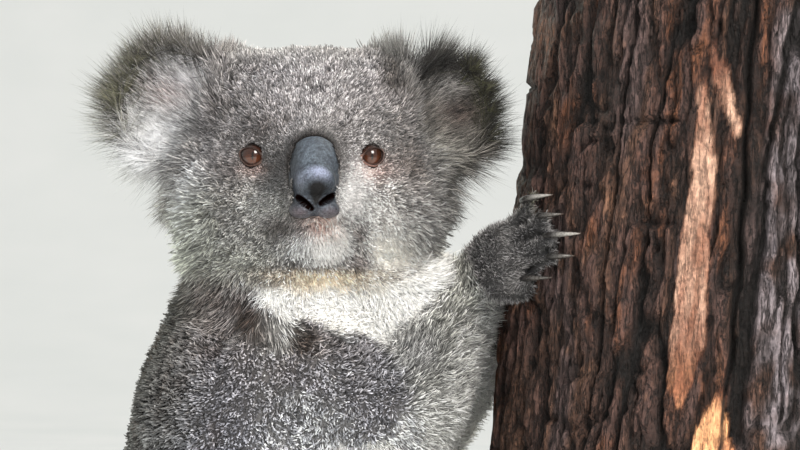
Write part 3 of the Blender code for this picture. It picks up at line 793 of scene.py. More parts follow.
@dataclass(frozen=True)
class NoseShape:
    """The bare nose in head millimetres: a tall dome over a rounded tip, wings round two slanting nostrils."""

    forms: tuple[Blob, ...] = (
        Blob((0, -64, -1), (14.2, 13.5, 16.4)),
        Blob((0, -66, -10), (13.5, 13, 15)),
        Blob((0, -67, -19.5), (13.0, 13, 9.8)),
        Blob((0.4, -75, -9), (11.2, 8.9, 10.2)),
        Blob((-6.2, -73.5, -24.2), (7.4, 8.8, 5.2), -10),
        Blob((6.2, -73.5, -24.0), (7.4, 8.8, 5.2), 10),
    )
    nostrils: tuple[Blob, ...] = (
        Blob((-6.1, -83.5, -20.6), (6.6, 12.0, 1.6), 40),
        Blob((7.8, -83.5, -18.6), (6.2, 12.0, 1.6), -32),
    )
    blend: float = 2.0
    centre: Triple = (0, -66, -18.5)
    rings: int = 116
    around: int = 140

    def distance(self, points: Array) -> Array:
        """How far points lie outside the nose, with the nostrils and the groove under the septum cut out."""
        total = self.whole(points)
        groove = Blob((0, -85.0, -27.0), (1.1, 4.5, 5.5)).distance(points)
        total = -union(-total, groove, 1.2)
        for hollow in self.nostrils:
            total = -union(-total, hollow.distance(points), 1.0)
        return total

    def whole(self, points: Array) -> Array:
        """How far points lie outside the nose before anything is cut out."""
        total = self.forms[0].distance(points)
        for form in self.forms[1:]:
            total = union(total, form.distance(points), self.blend)
        return total

    def surface(self) -> tuple[Array, Array, Array]:
        """The nose as a grid of directions from its centre, each marched inwards until the distance is nought.

        Returns:
            Points in head millimetres, the quads, and the triangles at the poles.
        """
        rays, quads, caps = ball_grid(self.rings, self.around)
        rays = rays[:, [0, 2, 1]] * (1, -1, 1)
        reach = np.full(len(rays), 42.0)
        for _ in range(60):
            reach = np.maximum(reach - 0.7 * self.distance(np.array(self.centre) + rays * reach[:, None]), 2.0)
        return np.array(self.centre) + rays * reach[:, None], quads, caps


# ---- the skin and its markings


@dataclass(frozen=True)
class Growth:
    """How the hair grows on one part, in millimetres and degrees.

    Density is locks to the square millimetre; blunt is the share of woolly locks that end broad.
    """

    depth: float
    length: float
    width: float
    lift: float
    stray: float
    density: float
    blunt: float


GROWTHS = {
    "head": Growth(4.2, 6.5, 0.50, 42, 0.50, 2.5, 0.6),
    "ear": Growth(4.0, 10.5, 0.36, 36, 0.34, 2.9, 0.0),
    "neck": Growth(7.0, 9.0, 0.80, 38, 0.34, 0.80, 0.2),
    "torso": Growth(6.0, 5.2, 1.15, 62, 1.10, 0.66, 0.9),
    "arm_upper": Growth(5.8, 5.8, 1.00, 56, 0.95, 0.72, 0.8),
    "forearm": Growth(5.0, 7.5, 0.66, 42, 0.55, 1.05, 0.3),
    "hand": Growth(1.4, 5.6, 0.50, 30, 0.26, 1.65, 0.1),
    "thigh": Growth(6.4, 7.0, 0.95, 54, 0.85, 0.54, 0.8),
    "shank": Growth(5.6, 8.5, 0.86, 38, 0.45, 0.66, 0.3),
    "foot": Growth(1.4, 5.6, 0.60, 32, 0.30, 0.95, 0.1),
}
SIDES = ("right", "left")
FLESH = (
    "head",
    "neck",
    "torso",
    *(f"{part}_{side}" for part in GROWTHS if part not in ("head", "neck", "torso") for side in SIDES),
)


def growth_of(node: str) -> Growth:
    """The growth of a flesh node."""
    return GROWTHS[node.removesuffix("_right").removesuffix("_left")]


@dataclass(frozen=True)
class Spot:
    """A soft patch of colour: middle and half sizes in millimetres across and up, on the face or on an ear."""

    middle: tuple[float, float]
    half: tuple[float, float]
    colour: str
    strength: float

    def share(self, places: Array) -> Array:
        """Strength times exp(-r^2), with r in half sizes."""
        reach = (places - np.array(self.middle)) / np.array(self.half)
        return self.strength * bell(*reach.T)


# The face's markings, laid over one another in this order; a few are painted shadows, noted where they stand.
FACE_SPOTS = (
    Spot((0, 50), (40, 20), "#B7B1B1", 0.7),
    Spot((2, 34), (26, 14), "#BAB5B4", 0.5),
    Spot((-45, 31), (15, 15), "#6E6966", 0.7),
    Spot((47, 31), (15, 15), "#8F8986", 0.5),
    Spot((64, 54), (15, 14), "#453F37", 0.85),
    Spot((54, -2), (12, 22), "#5F5249", 0.85),
    Spot((-50, -2), (13, 18), "#7E736D", 0.6),
    Spot((-30, 18), (14, 8), "#655E5B", 0.75),
    Spot((32, -4), (10, 7), "#F0C8BC", 0.85),
    Spot((26, 8), (6, 8), "#D0CAC7", 0.6),
    Spot((-29, -3), (9, 4), "#C9A699", 0.75),
    # Painted shadow cast by the nose on the viewer's left.
    Spot((-21, -4), (9, 18), "#353432", 0.93),
    Spot((23, -17), (8.5, 17), "#FAF8F9", 0.97),
    Spot((-25, -24), (11, 5), "#C4C3BA", 0.7),
    Spot((43, -30), (21, 21), "#EFEAE5", 0.80),
    Spot((-47, -28), (18, 18), "#9E9C95", 0.4),
    Spot((38, -50), (26, 11), "#FFFBF2", 0.95),
    Spot((-42, -52), (24, 9), "#A5A596", 0.7),
    Spot((8, -43), (18, 17), "#FFFDFB", 1.0),
    Spot((8, -56), (24, 3), "#A59484", 0.6),
    Spot((4, -33), (10, 4.5), "#FFD3C4", 1.0),
    # Painted shadow at the mouth's left corner, under the overhanging cheek fur.
    Spot((-18, -34), (10, 7), "#40352D", 0.95),
    Spot((-72, -8), (12, 16), "#EBE9E5", 0.8),
    # Painted shadow along the mouth's line at the right.
    Spot((25, -38), (4, 8), "#5E5049", 0.85),
    Spot((26, -52), (7, 6), "#86797A", 0.8),
    Spot((24, -50), (6, 5), "#8F857C", 0.6),
)
# Digits: wrap in degrees and rise in mm at root and tip, then the claw's length in mm.
HAND_DIGITS = {
    "1": (16, 24.0, 28.0, 38.5, 17),
    "2": (22, 19.0, 37.0, 29.5, 10),
    "3": (24, 10.0, 42.0, 19.0, 16),
    "4": (24, 0.0, 43.5, 7.5, 10),
    "5": (18, -9.0, 33.0, -4.5, 15),
}
FOOT_DIGITS = {
    "1": (12, -12.0, 22.0, -34.0, 0),
    "2": (18, -4.0, 34.0, -9.0, 9),
    "3": (18, 3.0, 36.0, 2.0, 9),
    "4": (17, 12.0, 40.0, 16.0, 15),
    "5": (15, 20.0, 35.0, 33.0, 15),
}
# In head millimetres, across and up.
MOUTH_LINE = np.array([(-28, -47), (-22, -40), (-15, -34.5), (0, -32.5), (15, -31.5), (21, -37), (24, -43)], float)
# Where the coat parts behind the near shoulder, in metres.
SHOULDER_CREASE = np.array([(-0.135, -0.062, 0.438), (-0.112, -0.066, 0.443), (-0.090, -0.066, 0.450)])
BACK_CREASE = np.array([(-0.1645, -0.058, 0.450), (-0.1650, -0.062, 0.428)])
# Wool rubbed smooth on the chest: middle x and z in metres, slant in degrees, half length and half width in metres.
BRUSHED_BAND = (-0.1370, 0.4570, -24.0, 0.0300, 0.0120)
# The bib's lower edge and the jaw's, x and z in metres.
BIB_LINE = np.array(
    [(-0.160, 0.476), (-0.127, 0.463), (-0.112, 0.455), (-0.085, 0.450)]
    + [(-0.066, 0.455), (-0.039, 0.478), (-0.029, 0.502)]
)
JAW_LINE = np.array(
    [(-0.170, 0.474), (-0.140, 0.475), (-0.118, 0.473), (-0.085, 0.473)]
    + [(-0.069, 0.479), (-0.059, 0.488), (-0.049, 0.500)]
)
# A point on the upright line through the torso, from which its front and back are told apart.
TORSO_MIDDLE = (-0.140, 0.018, 0.0)


def paws_of(anatomy: Anatomy) -> Iterator[tuple[str, Paw, dict[str, tuple[float, ...]]]]:
    """Each hand and foot: its node's name, where it holds the trunk, and its digits."""
    for side in Side:
        yield "hand_" + side.tag, anatomy.hands[side], HAND_DIGITS
        yield "foot_" + side.tag, anatomy.feet[side], FOOT_DIGITS


@dataclass
class SkinMap:
    """The coat's outer surface cut into small quads, with what each place of it needs to know."""

    anatomy: Anatomy
    nose: NoseShape
    voxel: float = 0.0025
    overlap: float = 0.0004
    block: int = 4000
    mouth_depth: float = 0.0016
    fold_depth: float = 0.006
    gap_depth: float = 0.0044
    nose_cover_mm: float = 1.2
    outer: Array = field(init=False)
    faces: Array = field(init=False)
    links: Links = field(init=False)
    part: Array = field(init=False)
    paws: Array = field(init=False)
    outer_normals: Array = field(init=False)
    in_head: Array = field(init=False)
    fields: dict[str, Array] = field(init=False)
    points: Array = field(init=False)
    normals: Array = field(init=False)
    lay: Array = field(init=False)
    tone: Array = field(init=False)

    def __post_init__(self) -> None:
        """Works out the surface, the growth, the inset skin, the lie of the hair and the markings, in that order."""
        self.outer, self.faces = self.fused_surface()
        self.links = Links.of_faces(self.faces, len(self.outer))
        self.part = self.nearest_part()
        self.paws = self.weight_of("hand", "foot")
        even, light = self.links.eased(self.outer, 6), self.links.eased(self.outer, 1)
        self.outer = mixed(even, light, self.paws)
        self.outer_normals = surface_normals(self.outer, self.faces)
        self.in_head = self.anatomy.to_head(self.outer)
        self.fields = self.growth_fields()
        self.points = self.inset_skin()
        self.normals = surface_normals(self.points, self.faces)
        self.lay = self.lie_of_hair()
        self.tone = Markings(self).tones()

    def part_arrays(self, node: str) -> tuple[Array, Array]:
        """A solid's points, merged where they meet, and its triangles."""
        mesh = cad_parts[node].data
        mesh.calc_loop_triangles()
        places = read_rows(mesh.vertices, "co", 3, np.float32).astype(float)
        triangles = read_rows(mesh.loop_triangles, "vertices", 3, np.int32)
        _, first, index = np.unique(np.round(places * 1e5), axis=0, return_index=True, return_inverse=True)
        return places[first], index.reshape(-1)[triangles]

    def fused_surface(self) -> tuple[Array, Array]:
        """The flesh, nose and eyes as one closed surface of even quads; the thin cuts between nodes close up."""
        points, triangles, start = [], [], 0
        for node in (*FLESH, "nose", "eye_right", "eye_left"):
            places, faces = self.part_arrays(node)
            points.append(places + surface_normals(places, faces) * self.overlap)
            triangles.append(faces + start)
            start += len(places)
        rough = mesh_object("rough", np.concatenate(points), np.concatenate(triangles))
        fuse = rough.modifiers.new("fuse", "REMESH")
        fuse.mode, fuse.voxel_size = "VOXEL", self.voxel
        mesh = bpy.data.meshes.new_from_object(rough.evaluated_get(bpy.context.evaluated_depsgraph_get()))
        bpy.data.objects.remove(rough)
        places = read_rows(mesh.vertices, "co", 3, np.float32).astype(float)
        faces = read_rows(mesh.loops, "vertex_index", 1, np.int32).reshape(-1, 4)
        bpy.data.meshes.remove(mesh)
        return places, faces

    def nearest_part(self) -> Array:
        """The number in FLESH of the node that lies nearest to each vertex."""
        samples, owners = [], []
        for number, node in enumerate(FLESH):
            places, faces = self.part_arrays(node)
            near = np.concatenate([places, places[faces].mean(axis=1)])
            samples.append(near)
            owners.append(np.full(len(near), number))
        samples, owners = np.concatenate(samples).astype(np.float32), np.concatenate(owners)
        squares = (samples**2).sum(axis=1)
        found = np.empty(len(self.outer), int)
        for start in range(0, len(self.outer), self.block):
            block = self.outer[start : start + self.block].astype(np.float32)
            found[start : start + self.block] = owners[np.argmin(squares - 2 * block @ samples.T, axis=1)]
        return found

    def on(self, node: str) -> Array:
        """Which vertices lie on this node."""
        return self.part == FLESH.index(node)

    def weight_of(self, *names: str) -> Array:
        """1 on the nodes whose names start so, easing to 0 across their borders."""
        chosen = [number for number, node in enumerate(FLESH) if node.startswith(names)]
        return self.links.eased(np.isin(self.part, chosen).astype(float), 6)

    def ear_place(self, side: Side) -> tuple[Array, Array]:
        """Vertices in an ear's own flattened millimetres, and their reach from its middle in half sizes."""
        ear = self.anatomy.ears[side]
        local = (self.in_head - np.array(ear.centre)) @ self.anatomy.ear_turn(side)
        reach = (local[:, [0, 2]] / np.array([ear.half[0], ear.half[2]])) ** 2
        local[:, 1] += ear.cup * reach.sum(axis=1)
        return local, np.sqrt(reach.sum(axis=1))

    def growth_fields(self) -> dict[str, Array]:
        """Every measure of Growth at each vertex, eased over the joins.

        Hair on the head lengthens away from the nose, and more on cheeks, chin and ruff; it is thin round the eyes,
        long at the ears' rims and roots, and lies flat where the chest is rubbed smooth.
        """
        kinds = [growth_of(node) for node in FLESH]
        names = ("depth", "length", "width", "lift", "stray", "density", "blunt")
        fields = {name: np.array([getattr(kind, name) for kind in kinds], float)[self.part] for name in names}
        from_nose = np.linalg.norm(self.in_head - (0, -68, -8), axis=1)
        near, far = smooth(14, 60, from_nose), smooth(60, 115, from_nose)
        out, up = np.abs(self.in_head[:, 0]), self.in_head[:, 2]
        cheek = smooth(36, 62, out) * smooth(25, -10, up)
        ruff = smooth(46, 66, out) * smooth(0, -25, up)
        chin = bell(np.linalg.norm((self.in_head[:, [0, 2]] - (4, -44)) / (20, 13), axis=1)) * (from_nose < 60)
        on_head = {
            "depth": 1.5 + 1.2 * near + 0.5 * far + 0.8 * cheek,
            "length": 2.4 + 1.4 * near + 2.4 * far + 2.0 * cheek + 4.0 * chin + 6.0 * ruff,
            "width": 0.52 + 0.16 * near + 0.08 * far,
            "density": 4.0 - 1.2 * near - 1.05 * far,
            "stray": 0.62 - 0.30 * chin - 0.25 * ruff,
        }
        fields |= {name: np.where(self.on("head"), values, fields[name]) for name, values in on_head.items()}
        brushed = self.brushed()
        for name, change in (("length", 1.8), ("lift", -34), ("stray", -0.55)):
            fields[name] += change * brushed
        fields["blunt"] *= 1 - 0.8 * brushed
        for side in Side:
            past_lids = smooth(8, 18, np.linalg.norm(self.in_head - self.anatomy.eye_centre(side), axis=1))
            fields["depth"] *= 0.45 + 0.55 * past_lids
            fields["length"] *= 0.55 + 0.45 * past_lids
            ear = self.on("ear_" + side.tag)
            local, reach = self.ear_place(side)
            rim = np.where(ear, smooth(0.45, 0.95, reach), 0.0)
            fields["length"] += 9.5 * rim
            fields["length"] += 6.0 * smooth(10, -30, local[:, 2]) * smooth(0.5, 0.9, reach) * ear
            fields["width"] += 0.10 * rim
            fields["length"] += 8.0 * self.ear_root(side)
            if side is Side.LEFT:
                fields["length"] += 8.5 * bell((local[:, 0] + 9) / 10, (local[:, 2] - 33) / 12)
                continue
            ring = smooth(0.40, 0.54, reach) * smooth(0.95, 0.78, reach) * smooth(3, -2, local[:, 1])
            ring = ring * smooth(-24, -10, local[:, 2]) * ear
            fields["length"] += 3.5 * ring
            fields["lift"] -= 13 * ring
        return {name: self.links.eased(values, 8) for name, values in fields.items()}

    def ear_root(self, side: Side) -> Array:
        """1 on the head just inside the upper edge of an ear, where its long hair begins."""
        local, reach = self.ear_place(side)
        return self.on("head") * smooth(0.98, 0.74, reach) * smooth(-6, 8, local[:, 2])

    def brushed(self) -> Array:
        """1 where the chest's wool is rubbed smooth in a slanting band under the bib, 0 elsewhere."""
        run = self.outer[:, [0, 2]] - np.array(BRUSHED_BAND[:2])
        turn = math.radians(BRUSHED_BAND[2])
        along = run @ np.array([math.cos(turn), math.sin(turn)]) / BRUSHED_BAND[3]
        beside = run @ np.array([-math.sin(turn), math.cos(turn)]) / BRUSHED_BAND[4]
        ragged = 0.35 * noise(self.outer, 0.007, 29)
        edge = np.interp(self.outer[:, 0], BIB_LINE[:, 0], BIB_LINE[:, 1])
        below = smooth(-0.001, -0.007, self.outer[:, 2] - edge)
        return smooth(1.2, 0.7, np.hypot(along, beside) + ragged) * below * (self.outer[:, 1] < 0.0)

    def inset_skin(self, steps: int = 6) -> Array:
        """The coat's surface moved in by its depth in short steps, with the ears drawn in to their leather.

        Args:
            steps: Number of short steps.

        Returns:
            The skin's points, in metres.
        """
        points = self.outer.copy()
        for side in Side:
            ear = self.anatomy.ears[side]
            weight = self.weight_of("ear_" + side.tag)
            local, reach = self.ear_place(side)
            shrink = weight * smooth(0.25, 1.0, reach)
            local[:, [0, 2]] *= (1.0 - 0.31 * shrink)[:, None]
            local[:, 1] *= 1.0 - 0.35 * weight
            drawn = (local[:, [0, 2]] / np.array([ear.half[0], ear.half[2]])) ** 2
            local[:, 1] -= ear.cup * drawn.sum(axis=1)
            back = local @ self.anatomy.ear_turn(side).T + np.array(ear.centre)
            points = mixed(points, self.anatomy.from_head(back), weight)
        for _ in range(steps):
            points = points - surface_normals(points, self.faces) * (self.fields["depth"] * MM / steps)[:, None]
            points = mixed(self.links.eased(points, 1), points, self.paws)
        points = self.with_folds(points)
        return self.with_sockets(self.with_bed(points))

    def with_folds(self, points: Array) -> Array:
        """Grooves at the mouth, at the shoulder and between digits: depth times exp(-(d / w)^2).

        Args:
            points: The skin's points, in metres.

        Returns:
            The points with the grooves pressed in.
        """
        face = self.anatomy.to_head(points)
        mouth = smooth(-20, -35, face[:, 1]) * bell(segment_distance(face[:, [0, 2]], MOUTH_LINE) / 1.9)
        fold = sum(bell(segment_distance(self.outer, line) / 0.0055) for line in (SHOULDER_CREASE, BACK_CREASE))
        self.fields["fold"] = np.clip(fold + 0.45 * mouth, 0, 1)
        gap = np.zeros(len(points))
        for node, paw, digits in paws_of(self.anatomy):
            rows = np.array(list(digits.values()))[:, :4]
            for wrap, rise, tip_wrap, tip_rise in (rows[1:] + rows[:-1]) / 2:
                wraps, rises = np.array([wrap, tip_wrap + 4]), np.array([rise, tip_rise]) * MM
                line = self.anatomy.paw_place(paw, wraps, rises, np.array([0.011, 0.009]))
                gap = np.maximum(gap, self.on(node) * bell(segment_distance(self.outer, line) / 0.0034))
        self.fields["gap"] = gap
        depth = self.mouth_depth * mouth + self.fold_depth * fold + self.gap_depth * gap
        return points - surface_normals(points, self.faces) * depth[:, None]

    def with_bed(self, points: Array) -> Array:
        """Skin that lies in front of the bare nose sinks until it is inside it."""
        face = self.anatomy.to_head(points)
        near = (np.abs(face[:, 0]) < 20) & (np.abs(face[:, 2] + 8) < 28) & (face[:, 1] < -50)
        slab = face[near]
        layers = [slab * (1, 0, 1) + (0, y, 0) for y in np.arange(-84.0, -58.0, 1.5)]
        inside = np.min([self.nose.distance(layer) for layer in layers], axis=0) < -self.nose_cover_mm
        for _ in range(30):
            slab[:, 1] += np.where(inside, np.clip(self.nose.distance(slab) + self.nose_cover_mm, 0, 0.8), 0)
        face[near] = slab
        return self.anatomy.from_head(face)

    def with_sockets(self, points: Array) -> Array:
        """Skin in front of an eyeball sinks behind its lids: no further out than a bowl round the lid's axis."""
        face = self.anatomy.to_head(points)
        for side in Side:
            along, beside = self.anatomy.before_eye(face, side)
            bowl = -1.0 + 14.0 * smooth(5.6, 8.4, beside)
            inside = (beside < 8.4) & (along > bowl) & (along < 14)
            face = np.where(inside[:, None], face + (bowl - along)[:, None] * self.anatomy.lid_axis(side), face)
        return self.anatomy.from_head(face)

    def lie_of_hair(self) -> Array:
        """The way the hair lies at each vertex: away from the nose, out to the ear rims, down the body and limbs."""
        anatomy, on_head = self.anatomy, self.on("head")
        away = self.in_head - (0, -64, -4)
        behind = smooth(5, 45, self.in_head[:, 1])[:, None]
        head = anatomy.head_turn(unit(away) * (1 - behind) + np.array([0, 0.3, -1.0]) * behind)
        flow = np.where(on_head[:, None], head, (0.0, 0.0, -1.0))
        for side in Side:
            gap = self.in_head - anatomy.eye_centre(side)
            near = bell(np.linalg.norm(gap, axis=1) / 13) * on_head
            flow += 1.4 * near[:, None] * anatomy.head_turn(unit(gap))
            local, _ = self.ear_place(side)
            out = np.stack([local[:, 0] - side.value * 34, np.zeros(len(local)), local[:, 2] + 16], axis=1)
            fan = anatomy.head_turn(unit(out) @ anatomy.ear_turn(side).T)
            flow = np.where(self.on("ear_" + side.tag)[:, None], fan, flow)
            flow = mixed(flow, fan, self.ear_root(side))
            at = anatomy.joints(side)
            hand, foot = anatomy.hands[side], anatomy.feet[side]
            runs = {
                "arm_upper": at["elbow"] - at["shoulder"],
                "forearm": at["wrist"] - at["elbow"],
                "hand": anatomy.paw_place(hand, 36, 0.004, 0.008) - at["wrist"],
                "thigh": at["knee"] - at["hip"],
                "shank": at["ankle"] - at["knee"],
                "foot": anatomy.paw_place(foot, 32, 0.002, 0.008) - at["ankle"],
            }
            for part, run in runs.items():
                fall = 0.0 if part in ("hand", "foot") else 0.55
                flow[self.on(f"{part}_{side.tag}")] = unit(run) + (0, 0, -fall)
        flow = self.links.eased(unit(flow), 14)
        flow -= (flow * self.normals).sum(axis=1, keepdims=True) * self.normals
        return unit(flow)

    def build(self) -> Piece:
        """The skin as one piece that stands for every node of flesh."""
        skin = mesh_object("skin", self.points, self.faces)
        # The skin under the coat is darker than the markings: partly the real dark underfur, partly painted shade
        # between the locks.
        paint(skin, "tone", self.tone * (0.42 + 0.53 * smooth(0.35, 0.8, self.tone.mean(axis=1)))[:, None])
        return finish_piece(skin, SkinFinish().build(), "fur_grey", *FLESH)


@dataclass
class Markings:
    """The coat's colours at each vertex of the skin, shared by the skin and every lock that grows there."""

    skin: SkinMap

    def tones(self) -> Array:
        """Linear colours: body first, then limbs, head, face spots and ears."""
        tone = self.body()
        tone = mixed(tone, self.head(), self.skin.weight_of("head") * (1 - self.under_jaw()))
        for side in Side:
            tone = mixed(tone, self.ear(side), self.skin.weight_of("ear_" + side.tag))
        tone = tone * (0.70 + 0.30 * smooth(0.50, 0.85, tone.mean(axis=1)))[:, None]
        # Painted shade in the creases at the mouth, the near shoulder and the back: darker where the skin folds.
        fold = self.skin.fields["fold"] * (0.80 - 0.42 * self.skin.weight_of("head"))
        return tone * (1.0 - fold)[:, None]

    def body(self) -> Array:
        """Ash grey back, browner at the shoulders, mottled rump, pale belly and inner limbs, white bib."""
        skin, outer = self.skin, self.skin.outer
        tone = linear("#AAA9AD")
        drift = noise(outer, 0.035, 5)
        tone = tinted(tone, "#9D948F", smooth(0.37, 0.45, outer[:, 2]) * (0.6 + 0.4 * drift))
        away = unit(outer * (1, 1, 0) - TORSO_MIDDLE)
        front = away @ self.skin.anatomy.forward()
        trunk = skin.weight_of("torso", "neck", "thigh")
        tone = tinted(tone, "#D2CEC8", trunk * smooth(0.35, 0.9, front))
        rump = smooth(0.27, 0.20, outer[:, 2]) * smooth(0.1, -0.5, front) * smooth(0.0, 0.5, noise(outer, 0.022, 8))
        tone = tinted(tone, "#C6C2BC", 0.7 * trunk * rump)
        # Painted shade on the side turned away from the chest, where the back shows at the viewer's left.
        tone = tinted(tone, "#403E37", trunk * smooth(-0.3, -0.85, front) * 0.9)
        ragged = 0.14 * noise(outer, 0.012, 25) + 0.1 * noise(outer, 0.005, 26)
        inner = 0.62 * smooth(0.05, 0.75, skin.outer_normals @ unit(np.array([0.85, -0.25, -0.46])) + ragged)
        below = np.maximum(smooth(0.15, -0.65, skin.outer_normals[:, 2]), inner)
        arm, fore = skin.weight_of("arm_upper", "shank"), skin.weight_of("forearm")
        tone = tinted(tone, "#B2B4AA", 0.8 * fore)
        tone = tinted(tone, "#F0F0EC", np.clip(arm + fore, 0, 1) * below * 0.92)
        bend = bell((outer[:, 0] + 0.062) / 0.020, (outer[:, 2] - 0.438) / 0.020)
        tone = tinted(tone, "#85858A", 0.65 * bend * (outer[:, 1] < 0.02))
        paw = skin.weight_of("hand", "foot")
        wrists = [skin.anatomy.joints(side)[joint] for side in Side for joint in ("wrist", "ankle")]
        beyond = np.min([np.linalg.norm(outer - wrist, axis=1) for wrist in wrists], axis=0)
        tone = tinted(tone, "#7E7C7B", paw * smooth(0.012, 0.034, beyond))
        # Painted shade between the digits, in the grooves that part them.
        tone = tinted(tone, "#1A1918", 0.95 * smooth(0.2, 0.8, skin.fields["gap"]))
        tone = tinted(tone, "#43372F", 0.95 * skin.brushed())
        patchy = smooth(0.1, 0.55, noise(outer, 0.009, 31)) * smooth(0.36, 0.40, outer[:, 2])
        tone = tinted(tone, "#6A5B54", 0.45 * patchy * trunk * smooth(0.5, 0.1, front))
        shaded = smooth(-0.165, -0.205, outer[:, 0])[:, None]
        tone = tone * (1.0 - np.array([0.40, 0.41, 0.48]) * shaded)
        return tinted(tone, "#FDFCF8", self.bib(front))

    def bib(self, front: Array) -> Array:
        """White above the bib's lower edge, on the throat and as far round as it shows."""
        outer = self.skin.outer
        edge = np.interp(outer[:, 0], BIB_LINE[:, 0], BIB_LINE[:, 1])
        ragged = 0.003 * noise(outer, 0.006, 21)
        near = smooth(-0.003, 0.003, outer[:, 2] - edge + ragged) * smooth(0.03, 0.0, outer[:, 1])
        far = smooth(0.462, 0.470, outer[:, 2]) * smooth(0.0, 0.03, outer[:, 1])
        chest = self.skin.weight_of("neck", "torso") * smooth(0.15, 0.55, front)
        ahead = smooth(-0.164, -0.154, outer[:, 0])
        throat = self.skin.weight_of("neck", "torso", "arm_upper", "head")
        return np.clip((near + far) * ahead * smooth(-0.25, 0.1, front) * throat + chest * 0.9, 0, 1)

    def under_jaw(self) -> Array:
        """1 on the head's underside, below the jaw's line, where the bib begins."""
        outer = self.skin.outer
        edge = np.interp(outer[:, 0], JAW_LINE[:, 0], JAW_LINE[:, 1]) + 0.0015 * noise(outer, 0.006, 23)
        return smooth(0.002, -0.003, outer[:, 2] - edge) * smooth(0.04, 0.0, outer[:, 1])

    def head(self) -> Array:
        """Grey grizzle, the face's soft spots, the dark brown arc over the nose, and painted light and shade on the
        viewer's left.
        """
        place = self.skin.in_head
        across, up = place[:, 0], place[:, 2]
        tone = tinted(linear("#A29E9B"), "#B7B4AD", smooth(10, -25, up))
        tone = tinted(tone, "#8F8986", 0.6 * smooth(-0.2, 0.5, noise(place, 14, 3)))
        # The cheek's ruff, on the viewer's left only: a pale yellowish fringe of painted backlight, turning lower down
        # to painted shade.
        edge = smooth(44, 60, np.abs(across)) * smooth(0, -25, up)
        ruff = tinted(linear("#C2C4B2"), "#73756A", smooth(-42, -56, up))
        tone = mixed(tone, ruff, 0.75 * edge * smooth(30, -10, across))
        front = smooth(15, -20, place[:, 1])
        for spot in FACE_SPOTS:
            tone = tinted(tone, spot.colour, front * spot.share(place[:, [0, 2]]))
        local, reach = self.skin.ear_place(Side.LEFT)
        past = reach - 0.62 - 0.48 * smooth(6, 28, local[:, 2])
        root = smooth(0.20, 0.0, past) * smooth(-6, 12, local[:, 2])
        tone = tinted(tone, "#453F39", 0.85 * root)
        gain = 1.04 - 0.10 * smooth(15, -10, up) + 0.06 * smooth(10, 35, across) * smooth(-32, -48, up)
        tone = np.clip(tone * gain[:, None], 0, 0.94)
        under = bell((across - 6) / 30) * smooth(-55, -58, up)
        tone = tinted(tone, "#FBE4C4", under)
        from_rim = self.skin.nose.distance(place) - 1.0
        arc = bell(from_rim / 4.0) * smooth(-8, 4, up)
        tone = tinted(tone, "#1C1512", 0.98 * arc)
        # Painted shadow beside the nose's lower left.
        beside = bell(from_rim / 2.2) * smooth(8, -4, up)
        return tinted(tone, "#55504C", 0.6 * beside * smooth(4, -8, across))

    def ear(self, side: Side) -> Array:
        """Pale inside with a pinkish middle, darker towards the rim, grey behind.

        Args:
            side: Which ear.

        Returns:
            A linear colour for each skin point, for use where the ear is.
        """
        local, reach = self.skin.ear_place(side)
        flat = local[:, [0, 2]]
        inside = smooth(3, -4, local[:, 1])
        if side is Side.RIGHT:
            tone = linear("#A9A6A2")
            spots = (
                Spot((-26, -10), (11, 22), "#B4B2A8", 0.6),
                Spot((10, 16), (14, 16), "#E6E1E2", 0.9),
                Spot((0, 3), (11, 8), "#D6B3AC", 0.75),
                Spot((1, -30), (19, 30), "#FFFFFF", 1.0),
            )
            rim, start = "#55524B", 0.56
        else:
            tone = linear("#6E6A65")
            spots = (
                Spot((-2, 14), (12, 10), "#9C9A98", 0.8),
                Spot((2, -3), (12, 9), "#4C3B36", 0.85),
                Spot((-14, -24), (18, 15), "#BDBAB1", 0.9),
            )
            rim, start = "#0C0A07", 0.27
        for spot in spots:
            tone = tinted(tone, spot.colour, spot.share(flat))
        dark = smooth(start, start + 0.36, reach + 0.08 * noise(local, 7, 17))
        if side is Side.RIGHT:
            dark = dark * smooth(-34, -18, local[:, 2])
        else:
            dark = dark * smooth(-48, -34, local[:, 2]) * smooth(0, 14, local[:, 0] + 0.8 * (local[:, 2] + 24))
        tone = tinted(tone, rim, dark)
        behind = "#6E6A66" if side is Side.RIGHT else "#2C2923"
        return mixed(linear(behind), tone, inside)


# ---- the coat


